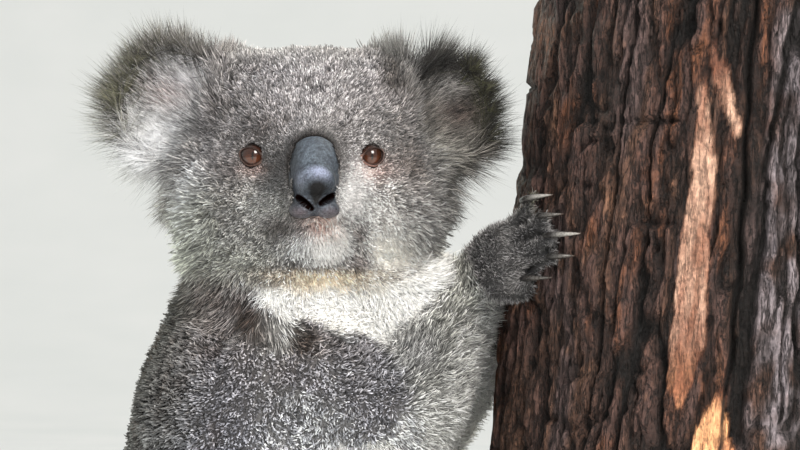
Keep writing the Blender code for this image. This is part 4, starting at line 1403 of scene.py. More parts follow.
@dataclass
class CoatMaker:
    """Grows closed three-sided locks from the skin, each a ring of corners at the root that runs to a tip."""

    skin: SkinMap
    seed: int = 7
    root_depth_mm: float = 0.7
    patch: float = 0.003
    most_triangles: int = 196000
    # Steps, as shares of a quad, that spread any number of points evenly over it.
    even_steps: tuple[float, float] = (0.7548776662, 0.5698402910)
    pattern: tuple[tuple[int, int, int], ...] = ((0, 2, 1), (0, 1, 3), (1, 2, 3), (2, 0, 3))
    # Each lock corner's brightness from root to tip: partly the hair's own dark base and pale tip, partly painted shade
    # deep in the coat.
    shades: tuple[float, ...] = (0.36, 0.36, 0.44, 1.48)
    broad_shades: tuple[float, ...] = (0.20, 0.26, 1.22, 1.45)
    wool_tint: tuple[Triple, ...] = (
        (1.12, 0.98, 0.90),
        (1.12, 0.98, 0.90),
        (0.97, 1.0, 1.05),
        (0.96, 1.0, 1.08),
    )
    groups: dict[str, tuple[str, ...]] = field(
        default_factory=lambda: {
            "coat_head": ("head",),
            "coat_ear_right": ("ear_right",),
            "coat_ear_left": ("ear_left",),
            "coat_throat": ("neck",),
            "coat_body": ("torso",),
            "coat_arm_right": ("arm_upper_right", "forearm_right"),
            "coat_arm_left": ("arm_upper_left", "forearm_left"),
            "coat_hands": ("hand_right", "hand_left"),
            "coat_leg_right": ("thigh_right", "shank_right"),
            "coat_leg_left": ("thigh_left", "shank_left"),
            "coat_feet": ("foot_right", "foot_left"),
        }
    )

    def build(self) -> None:
        """Every coat piece, each split to stay under most_triangles triangles."""
        finish = FurFinish().build()
        for number, (name, nodes) in enumerate(self.groups.items()):
            rng = np.random.default_rng(self.seed + number)
            roots = self.scatter(np.isin(self.skin.part, [FLESH.index(node) for node in nodes]), rng)
            roots = {key: values[self.clear(roots)] for key, values in roots.items()}
            order = np.argsort(roots["place"][:, 2], kind="stable")
            parts = max(1, math.ceil(len(order) * len(self.pattern) / self.most_triangles))
            for index, chosen in enumerate(np.array_split(order, parts)):
                own = {key: values[chosen] for key, values in roots.items()}
                label = name if parts == 1 else f"{name}_{index + 1}"
                self.piece(label, own, rng, finish)

    def scatter(self, chosen: Array, rng: np.random.Generator) -> dict[str, Array]:
        """Roots spread evenly over the chosen faces, with the skin's values blended between each quad's corners.

        Args:
            chosen: Which vertices of the skin this piece grows from.
            rng: The piece's own seeded generator.

        Returns:
            Arrays by name, one row for each root.
        """
        skin = self.skin
        faces = skin.faces[chosen[skin.faces].sum(axis=1) >= 2]
        owners = chosen[faces][:, :2].all(axis=1) | (chosen[faces].sum(axis=1) > 2)
        faces = faces[owners]
        corners = skin.points[faces]
        diagonals = corners[:, 2] - corners[:, 0], corners[:, 3] - corners[:, 1]
        area = np.linalg.norm(np.cross(*diagonals), axis=1) / 2 / MM**2
        expected = area * skin.fields["density"][faces].mean(axis=1)
        count = np.floor(expected + rng.random(len(faces))).astype(int)
        face = np.repeat(np.arange(len(faces)), count)
        within = np.arange(len(face)) - np.repeat(np.cumsum(count) - count, count)
        start = rng.random((len(faces), 2))[face]
        u, v = ((start + within[:, None] * self.even_steps) % 1.0).T
        share = np.stack([(1 - u) * (1 - v), u * (1 - v), u * v, (1 - u) * v], axis=1)
        quads = faces[face]

        def blend(values: Array) -> Array:
            """Corner values blended at each root."""
            return np.einsum("ij,ij...->i...", share, values[quads])

        made = {"place": blend(skin.points), "outer": blend(skin.outer), "normal": unit(blend(skin.normals))}
        made |= {"lay": blend(skin.lay), "tone": blend(skin.tone)}
        made |= {name: blend(values) for name, values in skin.fields.items()}
        return made

    def clear(self, roots: dict[str, Array]) -> Array:
        """Which roots grow: not in the bark, under the nose or inside the lids."""
        anatomy = self.skin.anatomy
        place = roots["place"]
        axis = anatomy.trunk_axis(place[:, 2])
        kept = np.linalg.norm(place - axis, axis=1) > anatomy.trunk_radius(place[:, 2]) + 0.0015
        face = anatomy.to_head(place)
        kept &= self.skin.nose.distance(face) > 0.2
        kept &= (roots["gap"] < 0.42) & (roots["fold"] < 0.62)
        for side in Side:
            along, beside = anatomy.before_eye(face, side)
            kept &= (beside > 6.3) | (along < 0)
        return kept

    def lean(self, place: Array, size: float, seed: int) -> Array:
        """A slow random vector, so that neighbouring locks lean together."""
        return np.stack([noise(place, size, seed + axis) for axis in range(3)], axis=1)

    def piece(self, name: str, roots: dict[str, Array], rng: np.random.Generator, finish: Material) -> Piece:
        """One piece of coat from its roots.

        Args:
            name: The piece's name.
            roots: What scatter gives.
            rng: The piece's generator.
            finish: The hair's material.

        Returns:
            The finished object with its colours and its OFBake map.
        """
        count = len(roots["place"])
        normal = roots["normal"]
        clump = self.lean(roots["place"], 0.0042, 31) * 1.5 + self.lean(roots["place"], 0.016, 41) * 0.7
        stray = roots["stray"][:, None]
        lay = unit(roots["lay"] + stray * (clump + rng.normal(0, 0.75, (count, 3))))
        lay = unit(lay - (lay * normal).sum(axis=1, keepdims=True) * normal)
        length = roots["length"] * MM * (1.0 + 0.18 * noise(roots["place"], 0.010, 51) + rng.normal(0, 0.17, count))
        width = roots["width"] * MM * rng.uniform(0.7, 1.25, count)
        lift = np.radians(roots["lift"] + 10 * noise(roots["place"], 0.005, 55) + rng.normal(0, 10.0, count))
        rise = lay * np.cos(lift)[:, None] + normal * np.sin(lift)[:, None]
        across = unit(np.cross(normal, lay))
        root = roots["place"] - normal * self.root_depth_mm * MM
        blunt = rng.random(count) < roots["blunt"]
        points = self.locks(root, rise, across, np.clip(length, 1.5 * MM, None), width, blunt)
        colours = self.lock_colours(roots, blunt, rng)
        verts = points.shape[1]
        faces = (np.arange(count)[:, None, None] * verts + np.array(self.pattern)[None]).reshape(-1, 3)
        obj = mesh_object(name, points.reshape(-1, 3), faces)
        paint(obj, "tone", colours.reshape(-1, 3))
        self.bake_map(obj, roots["outer"], faces)
        slot = "fur_pale" if name.startswith("coat_throat") else "fur_grey"
        return finish_piece(obj, finish, slot)

    def locks(self, root: Array, rise: Array, across: Array, length: Array, width: Array, blunt: Array) -> Array:
        """The four corners of every lock: three at the root and a point, or two upright at the root and two across."""
        up = unit(np.cross(rise, across))
        side, high = across[:, None] * width[:, None, None], up[:, None] * width[:, None, None]
        far = (rise * length[:, None])[:, None]
        pointed = side * [[-0.5], [0.5], [0], [0]] + high * [[-0.18], [-0.18], [0.42], [0]] + far * [[0], [0], [0], [1]]
        broad = side * [[0], [0], [-0.42], [0.42]] + high * [[-0.4], [0.4], [0], [0]] + far * [[0], [0], [0.9], [1]]
        return root[:, None] + np.where(blunt[:, None, None], broad, pointed)

    def lock_colours(self, roots: dict[str, Array], blunt: Array, rng: np.random.Generator) -> Array:
        """Each corner's colour: the marking there, light or dark by chance and in small clumps, dark at the root in
        part as painted shade.

        Args:
            roots: Values at each lock's root, by name.
            blunt: True for each lock with a blunt tip.
            rng: The piece's random draws.

        Returns:
            A linear colour for each corner of each lock.
        """
        tone, place = roots["tone"], roots["place"]
        count = len(tone)
        fine = 0.62 * noise(place, 0.0014, 61) + 0.34 * noise(place, 0.0034, 63) + 0.14 * noise(place, 0.012, 71)
        chance, woolly = rng.random(count), roots["blunt"]
        fine = fine + 0.45 * woolly * noise(place, 0.0055, 73)
        light = np.where(chance > 0.66, 2.1 - 0.55 * woolly, 1.0)
        dark = np.where(chance < 0.42, 0.34 + 0.22 * woolly, 1.0)
        grizzle = (1.0 + fine + rng.normal(0, 0.12, count)) * light * dark
        mean = tone.mean(axis=1)
        flat = 0.40 * smooth(0.35, 0.8, mean) + 0.50 * smooth(0.68, 0.85, mean) + 0.45 * smooth(0.05, 0.015, mean)
        grizzle = grizzle + (1.0 - grizzle) * flat
        shades = np.where(blunt[:, None], np.array(self.broad_shades), np.array(self.shades))
        shades = shades + (1.0 - shades) * flat[:, None]
        made = np.clip((tone * np.clip(grizzle, 0.2, 2.8)[:, None])[:, None, :] * shades[:, :, None], 0, 1)
        # Painted backlight: tips at the ears' outer rims turn pale yellowish, as if lit through from behind.
        painted_backlight = self.skin.anatomy.ears_edge(roots["place"]) * rng.uniform(0.0, 0.7, count)
        made[:, 3] = tinted(made[:, 3], "#B6B684", painted_backlight)
        wool = smooth(0.3, 0.8, roots["blunt"])[:, None, None] * (1.0 - flat)[:, None, None]
        tint = np.where(blunt[:, None, None], np.array(self.wool_tint), 1.0)
        return np.clip(made * (1.0 + (tint - 1.0) * wool), 0, 1)

    def bake_map(self, obj: Piece, outer: Array, faces: Array) -> None:
        """The OFBake map: each lock a small patch at its root's place on the skin's unwrap.

        The unwrap folds directions from the part's middle onto a square, as an octahedron opens flat:
        u, v = x, y / (|x| + |y| + |z|), with the lower half turned outwards.

        Args:
            obj: The coat piece.
            outer: Each lock's root, taken out to the coat's surface, in metres.
            faces: The corners of each face, four points to a lock.
        """
        middle = (outer.min(axis=0) + outer.max(axis=0)) / 2
        spread = unit((outer - middle) / np.maximum(np.ptp(outer, axis=0), 1e-6))
        flat = spread / np.abs(spread).sum(axis=1, keepdims=True)
        folded = (1.0 - np.abs(flat[:, [1, 0]])) * np.where(flat[:, :2] >= 0, 1.0, -1.0)
        chart = np.where(flat[:, 2:] >= 0, flat[:, :2], folded) * 0.485 + 0.5
        inside = np.array([(0, 0), (1, 0), (0.5, 0.1), (0.5, 1.0)]) * self.patch
        places = (chart[:, None] + inside[None] - self.patch / 2).reshape(-1, 2)
        layer = obj.data.uv_layers.new(name="OFBake")
        layer.data.foreach_set("uv", places[faces.ravel()].astype(np.float32).ravel())


# ---- eyes, nose and claws


def frame_of(axis: Array) -> Array:
    """Rows of a right-handed set of directions: across, up and the axis itself."""
    across = unit(np.cross([0.0, 0.0, 1.0], -axis))
    return np.stack([across, unit(np.cross(across, -axis)) * -1.0, axis])


@dataclass
class Eye:
    """One eye: a ball with a bulging cornea and an upright slit pupil, and the lids round its opening.

    Slit holds the pupil's half sizes, and opening the half width and the heights above and below the middle, in
    millimetres; a lower corner makes the opening's ends more pointed, and slant tips it, in degrees.
    """

    anatomy: Anatomy
    side: Side
    slit: tuple[float, float] = (0.42, 2.3)
    opening: Triple = (6.1, 3.8, 5.1)
    corner: float = 1.66
    slant: float = 15.0
    rings: int = 48
    around: int = 72
    steps: int = 4

    def gaze(self) -> Array:
        """The way the pupil looks, in head directions."""
        return unit(np.array([-self.side.value * 0.10, -0.99, 0.0]))

    def ball(self) -> Piece:
        """The eyeball: radius R plus a low bulge 0.35 * exp(-(t / 0.5)^2) at angle t from the gaze."""
        local, quads, caps = ball_grid(self.rings, self.around)
        angle = np.arccos(np.clip(local[:, 2], -1, 1))
        radius = self.anatomy.eye_radius + 0.35 * bell(angle / 0.5)
        turned = local * radius[:, None] @ frame_of(self.gaze())
        world = self.anatomy.from_head(turned + self.anatomy.eye_centre(self.side))
        ball = mesh_object("eyeball_" + self.side.tag, world, quads, caps)
        paint(ball, "tone", self.iris_tone(local * self.anatomy.eye_radius))
        return finish_piece(ball, EyeFinish().build(), "eye_brown", "eye_" + self.side.tag)

    def iris_tone(self, local: Array) -> Array:
        """Chestnut iris, lighter below and darker above as painted shade from the lid, darker at its rim and round the
        slit, near black pupil and outer ball.
        """
        reach = np.hypot(local[:, 0], local[:, 1])
        tone = linear("#2E180F")
        # Painted shade: the iris is lightened only below, so its top stays dark as if under the upper lid.
        tone = tinted(tone, "#532E1D", smooth(5.0, 3.0, reach) * smooth(2.0, -3.5, local[:, 1]))
        tone = tinted(tone, "#2C1710", smooth(1.9, 0.6, reach) * 0.6)
        tone = tinted(tone, "#140B08", smooth(5.1, 5.9, reach))
        slit = np.hypot(local[:, 0] / self.slit[0], local[:, 1] / self.slit[1])
        tone = tinted(tone, "#070504", smooth(1.25, 0.85, slit))
        return np.where(local[:, 2:] > 0, tone, linear("#1A0F0B"))

    def lids(self) -> Piece:
        """Both lids as one ring: an opening r = (|cos / a|^p + |sin / b|^p)^(-1/p), flatter above."""
        turn = circle(self.around)
        wide, above, below = self.opening
        height = np.where(np.sin(turn) > 0, above, below)
        shape = np.abs(np.cos(turn) / wide) ** self.corner + np.abs(np.sin(turn) / height) ** self.corner
        opening = shape ** (-1 / self.corner)
        upper = smooth(-0.2, 0.9, np.sin(turn))
        radius = self.anatomy.eye_radius
        ball = np.sqrt(radius**2 - opening**2)
        level = 3.4 + 0.3 * upper
        # Reach from the lid's axis and rise along it, from behind the rim, over it, and back under the coat.
        section = [
            (opening + 1.2, ball - 2.4),
            (opening + 0.35, ball - 0.8),
            (opening, ball + 0.02),
            (opening - 0.06 - 0.10 * upper, ball + 0.28),
            (opening + 0.10, ball + 0.48 + 0.10 * upper),
            (opening + 0.42, ball + 0.42 + 0.12 * upper),
            (opening + 0.80, 0.6 * ball + 0.4 * level + 0.2),
            (opening + 1.15, 0.2 * ball + 0.8 * level),
            (opening + 1.5, level - 0.3),
            (opening * 0.4 + 4.6, level - 1.2),
            (np.full_like(turn, 8.0), level - 2.2),
            (np.full_like(turn, 8.6), level - 3.2),
            (np.full_like(turn, 8.4), level - 4.2),
        ]
        reach = np.stack([row[0] for row in section])
        rise = np.stack([row[1] for row in section])
        reach, rise = finer(reach, self.steps), finer(rise, self.steps)
        tilt = math.radians(self.slant) * self.side.value
        flat = np.stack([reach * np.cos(turn + tilt), reach * np.sin(turn + tilt), rise], axis=-1)
        rows = len(reach)
        first = np.arange(self.around)
        last = (rows - 1) * self.around + first
        seam = np.stack([last, np.roll(last, -1), np.roll(first, -1), first], axis=1)
        place = flat.reshape(-1, 3) @ frame_of(self.anatomy.lid_axis(self.side)) + self.anatomy.eye_centre(self.side)
        faces = np.concatenate([grid_faces(rows, self.around), seam])
        lids = mesh_object("eyelids_" + self.side.tag, self.anatomy.from_head(place), faces[:, ::-1])
        share = np.repeat(np.linspace(0, 1, rows), self.around)
        paint(lids, "tone", self.lid_tone(share, np.tile(np.sin(turn), rows), np.tile(np.cos(turn), rows)))
        return finish_piece(lids, LidFinish().build(), "nose_leather")

    def lid_tone(self, share: Array, up: Array, out: Array) -> Array:
        """Dark rim against the ball with painted shade along the upper lid, pink flesh below and at the inner corner,
        greyer above.
        """
        flesh = "#B48C80" if self.side is Side.LEFT else "#7A6056"
        tone = linear(flesh)
        tone = tinted(tone, "#5A504A", smooth(-0.1, 0.7, up) * 0.85)
        inner = smooth(0.2, 0.9, out * self.side.value)
        tone = tinted(tone, "#4A3630", 0.5 * inner)
        # A dark margin against the ball, and above it a wider band of painted shade along the upper lid.
        rim = smooth(0.50, 0.37, share) + 0.7 * smooth(0.2, 0.9, up) * smooth(0.75, 0.5, share)
        return tinted(tone, "#22140F", np.clip(rim, 0, 1) * 0.95)


@dataclass
class Nose:
    """The bare nose over the muzzle."""

    anatomy: Anatomy
    shape: NoseShape

    def build(self) -> Piece:
        """The nose's surface with a pebbled dome, folds over the wings, and its colours."""
        points, quads, caps = self.shape.surface()
        faces = np.concatenate([quads, np.concatenate([caps, caps[:, 2:]], axis=1)])
        normals = surface_normals(points, faces)
        inward = ((points - np.array(self.shape.centre)) * normals).sum(axis=1) < 0
        flip = -1.0 if inward.mean() > 0.5 else 1.0
        dome = smooth(-8, -2, points[:, 2])
        pebbles = 0.16 * dome * noise(points, 1.5, 81) + 0.05 * noise(points, 0.9, 82)
        points = points + normals * flip * pebbles[:, None]
        order = 1 if flip > 0 else -1
        nose = mesh_object("nose_bare", self.anatomy.from_head(points), quads[:, ::order], caps[:, ::order])
        paint(nose, "tone", self.tone(points))
        paint(nose, "moist", smooth(-2, -10, points[:, 2]) * smooth(-72, -78, points[:, 1]))
        # Less shine inside the nostrils and on the dark patch under the tip, where painted shade lies.
        paint(nose, "gloss", np.clip(1.0 - 0.95 * self.open(points) - 0.6 * self.worn(points), 0, 1))
        return finish_piece(nose, NoseFinish().build(), "nose_leather", "nose")

    def tone(self, points: Array) -> Array:
        """Slate dome, painted blue-grey highlights on the tip, painted near-black shade round the nostrils with reddish
        depths, pinkish lower lobes.

        Args:
            points: Places in head directions, in millimetres.

        Returns:
            A linear colour for each point.
        """
        fleck = noise(points, 1.1, 84) + 0.6 * noise(points, 0.7, 85)
        tone = tinted(linear("#353A42"), "#566069", smooth(-0.8, 1.2, fleck))
        # Painted shade down the dome's left side; the right edge is a little darker too.
        tone = tinted(tone, "#26282A", smooth(-3, -12, points[:, 0]) * 0.8)
        tone = tinted(tone, "#2C3036", smooth(8, 13, points[:, 0]) * 0.5)
        # A painted highlight in pale blue-grey on the upper front of the tip.
        front = bell((points[:, 0] - 3) / 7, (points[:, 2] + 4.5) / 4.2)
        front = front * smooth(-79, -82, points[:, 1])
        tone = tinted(tone, "#8D94AC", 0.8 * front)
        # A fainter painted highlight along the tip's left edge.
        side = bell((points[:, 0] + 7.5) / 3, (points[:, 2] + 9) / 5)
        tone = tinted(tone, "#666B78", 0.6 * side)
        # Painted shade: near black under the tip's bulge and down the septum.
        tone = tinted(tone, "#0C0A0A", self.worn(points))
        lobes = bell((np.abs(points[:, 0]) - 8) / 6, (points[:, 2] + 26.5) / 3.0)
        tone = tinted(tone, "#51474C", 0.8 * lobes)
        # Painted shade: near black with a red tinge inside the nostrils.
        return tinted(tone, "#0B0403", self.open(points))

    def worn(self, points: Array) -> Array:
        """Up to 0.97 on the near-black patch of painted shade under the tip and down the septum, 0 away from them."""
        patch = bell((points[:, 0] - 1.6) / 8.0, (points[:, 2] + 13.2) / 5.6)
        septum = bell((points[:, 0] - 0.6) / 2.6, (points[:, 2] + 19.5) / 6.0)
        return np.clip(1.1 * patch + 0.85 * septum, 0, 0.97)

    def open(self, points: Array) -> Array:
        """1 inside the nostrils, 0 outside them."""
        hollow = np.minimum(self.shape.nostrils[0].distance(points), self.shape.nostrils[1].distance(points))
        return np.maximum(smooth(1.1, 0.4, hollow), smooth(-0.6, -1.4, self.shape.whole(points)))


@dataclass
class Claws:
    """Curved claws at the digits' tips: wrap, rise, radius and length as in the solids.

    The profile's rows give the place along the claw as a share of its length, then the height above the bark and
    the radius there in millimetres. Slope is the share of the digit's own slant that the claw keeps.
    """

    anatomy: Anatomy
    around: int = 20
    steps: int = 8
    slope: float = 0.25
    profile: tuple[Triple, ...] = (
        (-0.25, 8.6, 2.4),
        (0.15, 9.4, 2.3),
        (0.5, 8.4, 1.85),
        (0.8, 5.2, 1.2),
        (1.0, 1.7, 0.45),
    )

    def build(self) -> None:
        """One piece for each claw, in place of its solid; a digit whose claw has no length gets none."""
        finish = ClawFinish().build()
        for node, paw, digits in paws_of(self.anatomy):
            for digit, sizes in digits.items():
                if sizes[-1]:
                    # Claws 1 and 3 get a painted highlight along the back of the hook.
                    self.claw(f"{node}_{digit}", paw, sizes, finish, digit in "13")

    def claw(self, name: str, paw: Paw, sizes: tuple[float, ...], finish: Material, pale: bool) -> Piece:
        """A claw: rings along a hooked line, each an oval flattened at its sides with a sharper lower edge.

        Args:
            name: The end of the piece's name, as in the solid's.
            paw: The paw that it grows on.
            sizes: The digit's row: wrap and rise at root and tip, and the claw's length.
            finish: The horn's material.
            pale: Whether the claw's back gets a painted highlight.

        Returns:
            The finished claw.
        """
        root_wrap, root_rise, tip_wrap, tip_rise, length = sizes
        slope = self.slope * (tip_rise - root_rise) / (tip_wrap - root_wrap)
        degree = math.radians(1) * float(self.anatomy.trunk_radius(np.array(paw.height))) / MM
        rows = finer(np.array(self.profile), self.steps)
        wrap = tip_wrap + rows[:, 0] * length / degree
        rise = tip_rise + slope * (wrap - tip_wrap)
        line = self.anatomy.paw_place(paw, wrap, rise * MM, rows[:, 1] * MM)
        run = unit(np.gradient(line, axis=0))
        outwards = unit(line - self.anatomy.trunk_axis(line[:, 2]))
        across = unit(np.cross(outwards, run))
        up = np.cross(run, across)
        turn = circle(self.around)
        wide = np.cos(turn) * 0.80
        tall = np.where(np.sin(turn) < 0, np.sin(turn) * 1.15 * (1 - 0.25 * np.cos(turn) ** 2), np.sin(turn))
        radius = rows[:, 2][:, None, None] * MM
        rings = line[:, None] + radius * (wide[None, :, None] * across[:, None] + tall[None, :, None] * up[:, None])
        count = len(line)
        quads, caps = closed_grid(count, self.around)
        points = np.concatenate([rings.reshape(-1, 3), line[:1], line[-1:] + run[-1:] * 0.0004])
        claw = mesh_object("claw_horn_" + name, points, quads, caps)
        share = np.concatenate([np.repeat(np.linspace(0, 1, count), self.around), [0, 1]])
        back = np.concatenate([np.tile(np.sin(turn), count), [0, 0]])
        paint(claw, "tone", self.tone(share, back, pale))
        return finish_piece(claw, finish, "claw_horn", "claw_" + name)

    def tone(self, share: Array, back: Array, pale: bool) -> Array:
        """Black-brown root, grey along the back of the hook, paler there as a painted highlight on claws 1 and 3, brown
        tip.
        """
        tone = linear("#1B1918")
        # A painted highlight along the back of claws 1 and 3.
        ridge = "#8A8680" if pale else "#45413D"
        tone = tinted(tone, ridge, smooth(0.2, 0.75, share) * smooth(-0.2, 0.8, back))
        return tinted(tone, "#3B2C22", smooth(0.8, 1.0, share))


# ---- the perch and its stand


@dataclass
class Perch:
    """The cut length of trunk: furrowed bark down its sides, three torn strips of bare wood, and sawn ends.

    Columns crowd towards the front; lobe is the height of the trunk's slow waves; the strips' rows give the height,
    then the middle and the half width in degrees.
    """

    anatomy: Anatomy
    columns: int = 520
    rows: int = 172
    crowding: float = 0.38
    lobe: float = 0.0035
    furrow_mm: float = 5.5
    growth_ring: float = 0.0032
    sawn_share: float = 0.955
    # Metres of bark to a degree of turn, and the radius at which its patterns are laid out.
    degree: float = 0.0021
    bark_radius: float = 0.12
    strips: tuple[tuple[Triple, ...], ...] = (
        ((0.408, 15, 0), (0.424, 15, 3.4), (0.4405, 14.6, 4.6), (0.483, 14, 3.9))
        + ((0.535, 14.3, 3.5), (0.560, 15.8, 2.1), (0.5735, 17, 1.4), (0.590, 17.4, 0)),
        ((0.230, 5, 0), (0.250, 5, 4.4), (0.387, 4.9, 4.9), (0.400, 4.6, 4), (0.415, 3.8, 1.6), (0.421, 3.2, 0)),
        ((0.551, 6.4, 0), (0.558, 7, 1.2), (0.5735, 9.9, 1.9), (0.592, 13.6, 2.4), (0.601, 14.8, 1), (0.606, 15, 0)),
    )

    def bare(self, angle: Array, height: Array) -> Array:
        """1 on the torn strips of bare wood at the front, with ragged edges, falling to 0 within a degree."""
        place = np.stack([angle * self.degree, np.zeros_like(angle), height], axis=1)
        wander = 2.2 * noise(place * (0, 0, 1), 0.05, 62)
        edge = 1.1 * fractal(place * (1.6, 0, 1), 0.016, 61, 4)
        total = np.zeros_like(angle)
        for torn in self.strips:
            levels, middles, halves = np.array(torn).T
            middle, half = np.interp(height, levels, middles), np.interp(height, levels, halves)
            off = np.abs(angle - middle - 0.25 * wander) + 0.8 * edge + 0.7 * noise(place * (1, 0, 0.3), 0.0032, 63)
            total = np.maximum(total, smooth(0.4, -0.4, off - half) * smooth(0.2, 0.9, half))
        return total

    def build(self) -> Piece:
        """Bark relief on a grid of angle and height, closed by sawn ends."""
        turns = np.arange(self.columns) / self.columns
        turns = turns - self.crowding * np.sin(2 * np.pi * turns) / (2 * np.pi)
        levels = np.linspace(self.anatomy.trunk_low, self.anatomy.trunk_high, self.rows)
        turn, level = (grid.ravel() for grid in np.meshgrid(turns, levels))
        angle = turn * 360.0
        depth, tone, bare = self.bark(angle, level)
        turn = np.radians(angle)
        lobe = self.lobe * (np.sin(3 * turn + 5 * level) + 0.6 * np.sin(7 * turn - 9 * level + 1))
        side = self.anatomy.on_trunk(angle, level, lobe - depth)
        shares = np.array([0.985, 0.94, 0.86, 0.74, 0.60, 0.44, 0.28, 0.12])
        ends, end_tones = [], []
        for row, order in ((0, shares[::-1]), (-1, shares)):
            rim = side.reshape(self.rows, self.columns, 3)[row]
            middle = self.anatomy.trunk_axis(np.array([rim[0, 2]]))[0]
            reach = self.anatomy.trunk_radius(np.array(rim[0, 2])) * self.sawn_share
            even = middle + unit(rim - middle) * reach
            kept = smooth(0.8, 1.0, order)
            disc = np.concatenate([middle + (rim * k + even * (1 - k) - middle) * s for s, k in zip(order, kept)])
            ends.append(disc)
            end_tones.append(self.sawn(disc - middle, reach))
        points = np.concatenate([ends[0], side, ends[1], self.anatomy.trunk_axis(levels[[0, -1]])])
        quads, caps = closed_grid(self.rows + 2 * len(shares), self.columns)
        pole_tone = self.sawn(np.zeros((2, 3)), self.bark_radius)
        bark = mesh_object("perch_bark", points, quads[:, ::-1], caps[:, ::-1])
        paint(bark, "tone", np.concatenate([end_tones[0], tone, end_tones[1], pole_tone]))
        plain = np.zeros(len(shares) * self.columns)
        paint(bark, "bare", np.concatenate([plain, bare, plain, [0, 0]]))
        return finish_piece(bark, BarkFinish().build(), "bark_brown", "perch_trunk")

    def bark(self, angle: Array, level: Array) -> tuple[Array, Array, Array]:
        """The bark's depth below its highest lumps, with its colour and its bareness.

        Depth is a deep furrow between ridges, finer grooves and rills along them, cross tears, fibres, chips, lumps
        on the far left and one long crack, each a noise on warped coordinates drawn out along the trunk.

        Args:
            angle: Degrees round the trunk.
            level: Heights in metres.

        Returns:
            Depth in metres, linear colours, and 1 where the wood is bare.
        """
        turn = np.radians(angle)
        place = np.stack([np.cos(turn) * self.bark_radius, np.sin(turn) * self.bark_radius, level], axis=1)
        wiggle = np.stack([noise(place * (1, 1, 0.5), 0.016, seed) for seed in (11, 12)], axis=1) * 0.0042
        wiggle = wiggle + np.stack([noise(place, 0.006, seed) for seed in (13, 14)], axis=1) * 0.0013
        bent = np.concatenate([place[:, :2] + wiggle, level[:, None]], axis=1)
        furrow = self.line(bent * (1, 1, 0.13), 0.017, 21, 0.17)
        groove = self.line(bent * (1, 1, 0.13), 0.0080, 22, 0.26)
        rill = self.line(bent * (1, 1, 0.2), 0.0044, 23, 0.34)
        torn = self.line(bent * (0.7, 0.7, 2.2), 0.024, 24, 0.10) * smooth(-0.1, 0.3, noise(place, 0.028, 25))
        blocks = noise(bent * (1, 1, 0.3), 0.012, 26)
        hue = noise(bent * (1, 1, 0.22), 0.018, 27)
        fibre = fractal(bent * (1, 1, 0.16), 0.005, 41)
        chips = fractal(bent * (1, 1, 0.5), 0.0065, 45)
        knots = fractal(place, 0.011, 51)
        signed = (angle + 180) % 360 - 180
        lumpy = smooth(1, -6, signed) * smooth(-75, -55, signed)
        deep = np.clip(furrow + 0.7 * torn, 0, 1)
        depth = self.furrow_mm * deep + 3.0 * groove * (1 - 0.5 * deep) + 1.5 * rill + 0.8 * (fibre + 0.6)
        depth = depth + 1.5 * (chips + 0.4) + 1.8 * lumpy * (knots + 0.5) + 1.6 * (0.5 - blocks)
        path = 3.1 + 0.8 * np.sin(level * 23) + 0.35 * np.sin(level * 140) + 120 * wiggle[:, 0]
        crack = bell((signed - path) / 0.62) * smooth(0.30, 0.36, level)
        depth = depth + 8.0 * crack
        bare = self.bare(signed + 300 * wiggle[:, 0], level)
        depth = depth * (1 - bare) + bare * (3.6 + 0.6 * fibre + 0.6 * chips)
        edge = np.clip(bare * (1 - bare) * 4, 0, 1)
        dark = np.clip(0.85 * groove + 0.6 * rill + 0.3 * smooth(0.0, 0.6, fibre), 0, 1)
        tone = self.bark_tone(deep, dark, fibre, hue, knots + 0.6 * chips, lumpy)
        wood = tinted(linear("#B98D74"), "#E0BCA0", smooth(-0.5, 0.4, fibre))
        wood = tinted(wood, "#DFAA74", smooth(0.45, 0.42, level) * 0.8)
        wood = tinted(wood, "#8A5A42", smooth(0.1, 0.6, chips) * 0.7)
        worn = smooth(0.1, 0.5, noise(bent * (1, 1, 0.12), 0.005, 28))
        wood = tinted(wood, "#94684F", 0.6 * worn)
        faded = smooth(0.475, 0.43, level) * smooth(0.405, 0.42, level) + smooth(0.580, 0.592, level)
        wood = tinted(wood, "#7C4E3A", 0.75 * faded)
        tone = mixed(tone, wood, bare)
        tone = tinted(tone, "#5E321E", 0.6 * edge)
        # Painted shade: near black inside the long crack.
        tone = tinted(tone, "#080605", np.clip(1.3 * crack, 0, 1) * 0.95)
        tone = tone * mixed(np.array([0.80, 0.70, 0.65]), np.array([0.83, 0.75, 0.75]), bare)
        tone = tone * (1 + np.array([0.72, 0.68, 0.62]) * (bare * smooth(0.43, 0.415, level))[:, None])
        return (np.clip(depth, 0.0, 13.0) - 3.0) * MM, tone, bare

    def line(self, places: Array, size: float, seed: int, width: float) -> Array:
        """1 along the wandering lines where a noise of this size crosses nought, falling to 0 at its width."""
        return smooth(width, 0.25 * width, np.abs(noise(places, size, seed)))

    def bark_tone(self, deep: Array, dark: Array, fibre: Array, hue: Array, knots: Array, lumpy: Array) -> Array:
        """Brown and purplish ridges with redder fibres, grey lumps, dark grooves and near-black furrows, partly painted
        shade.
        """
        tone = tinted(linear("#6B5141"), "#5D4A45", smooth(-0.3, 0.3, hue))
        tone = tinted(tone, "#8A5E44", smooth(0.1, 0.5, hue) * smooth(-0.2, 0.4, fibre))
        tone = tinted(tone, "#655A5C", smooth(-0.1, -0.5, hue) * 0.8)
        tone = tinted(tone, "#A07C64", smooth(0.30, 0.70, knots) * 0.6)
        tone = tinted(tone, "#9A9AA4", lumpy * smooth(-0.5, 0.3, knots) * 0.85)
        # Painted shade in the hollows, over the bark's own darker colour there: dark brown in grooves and rills, near
        # black in deep furrows.
        tone = tinted(tone, "#1E1613", dark * 0.9)
        return tinted(tone, "#0B0807", deep * 0.95)

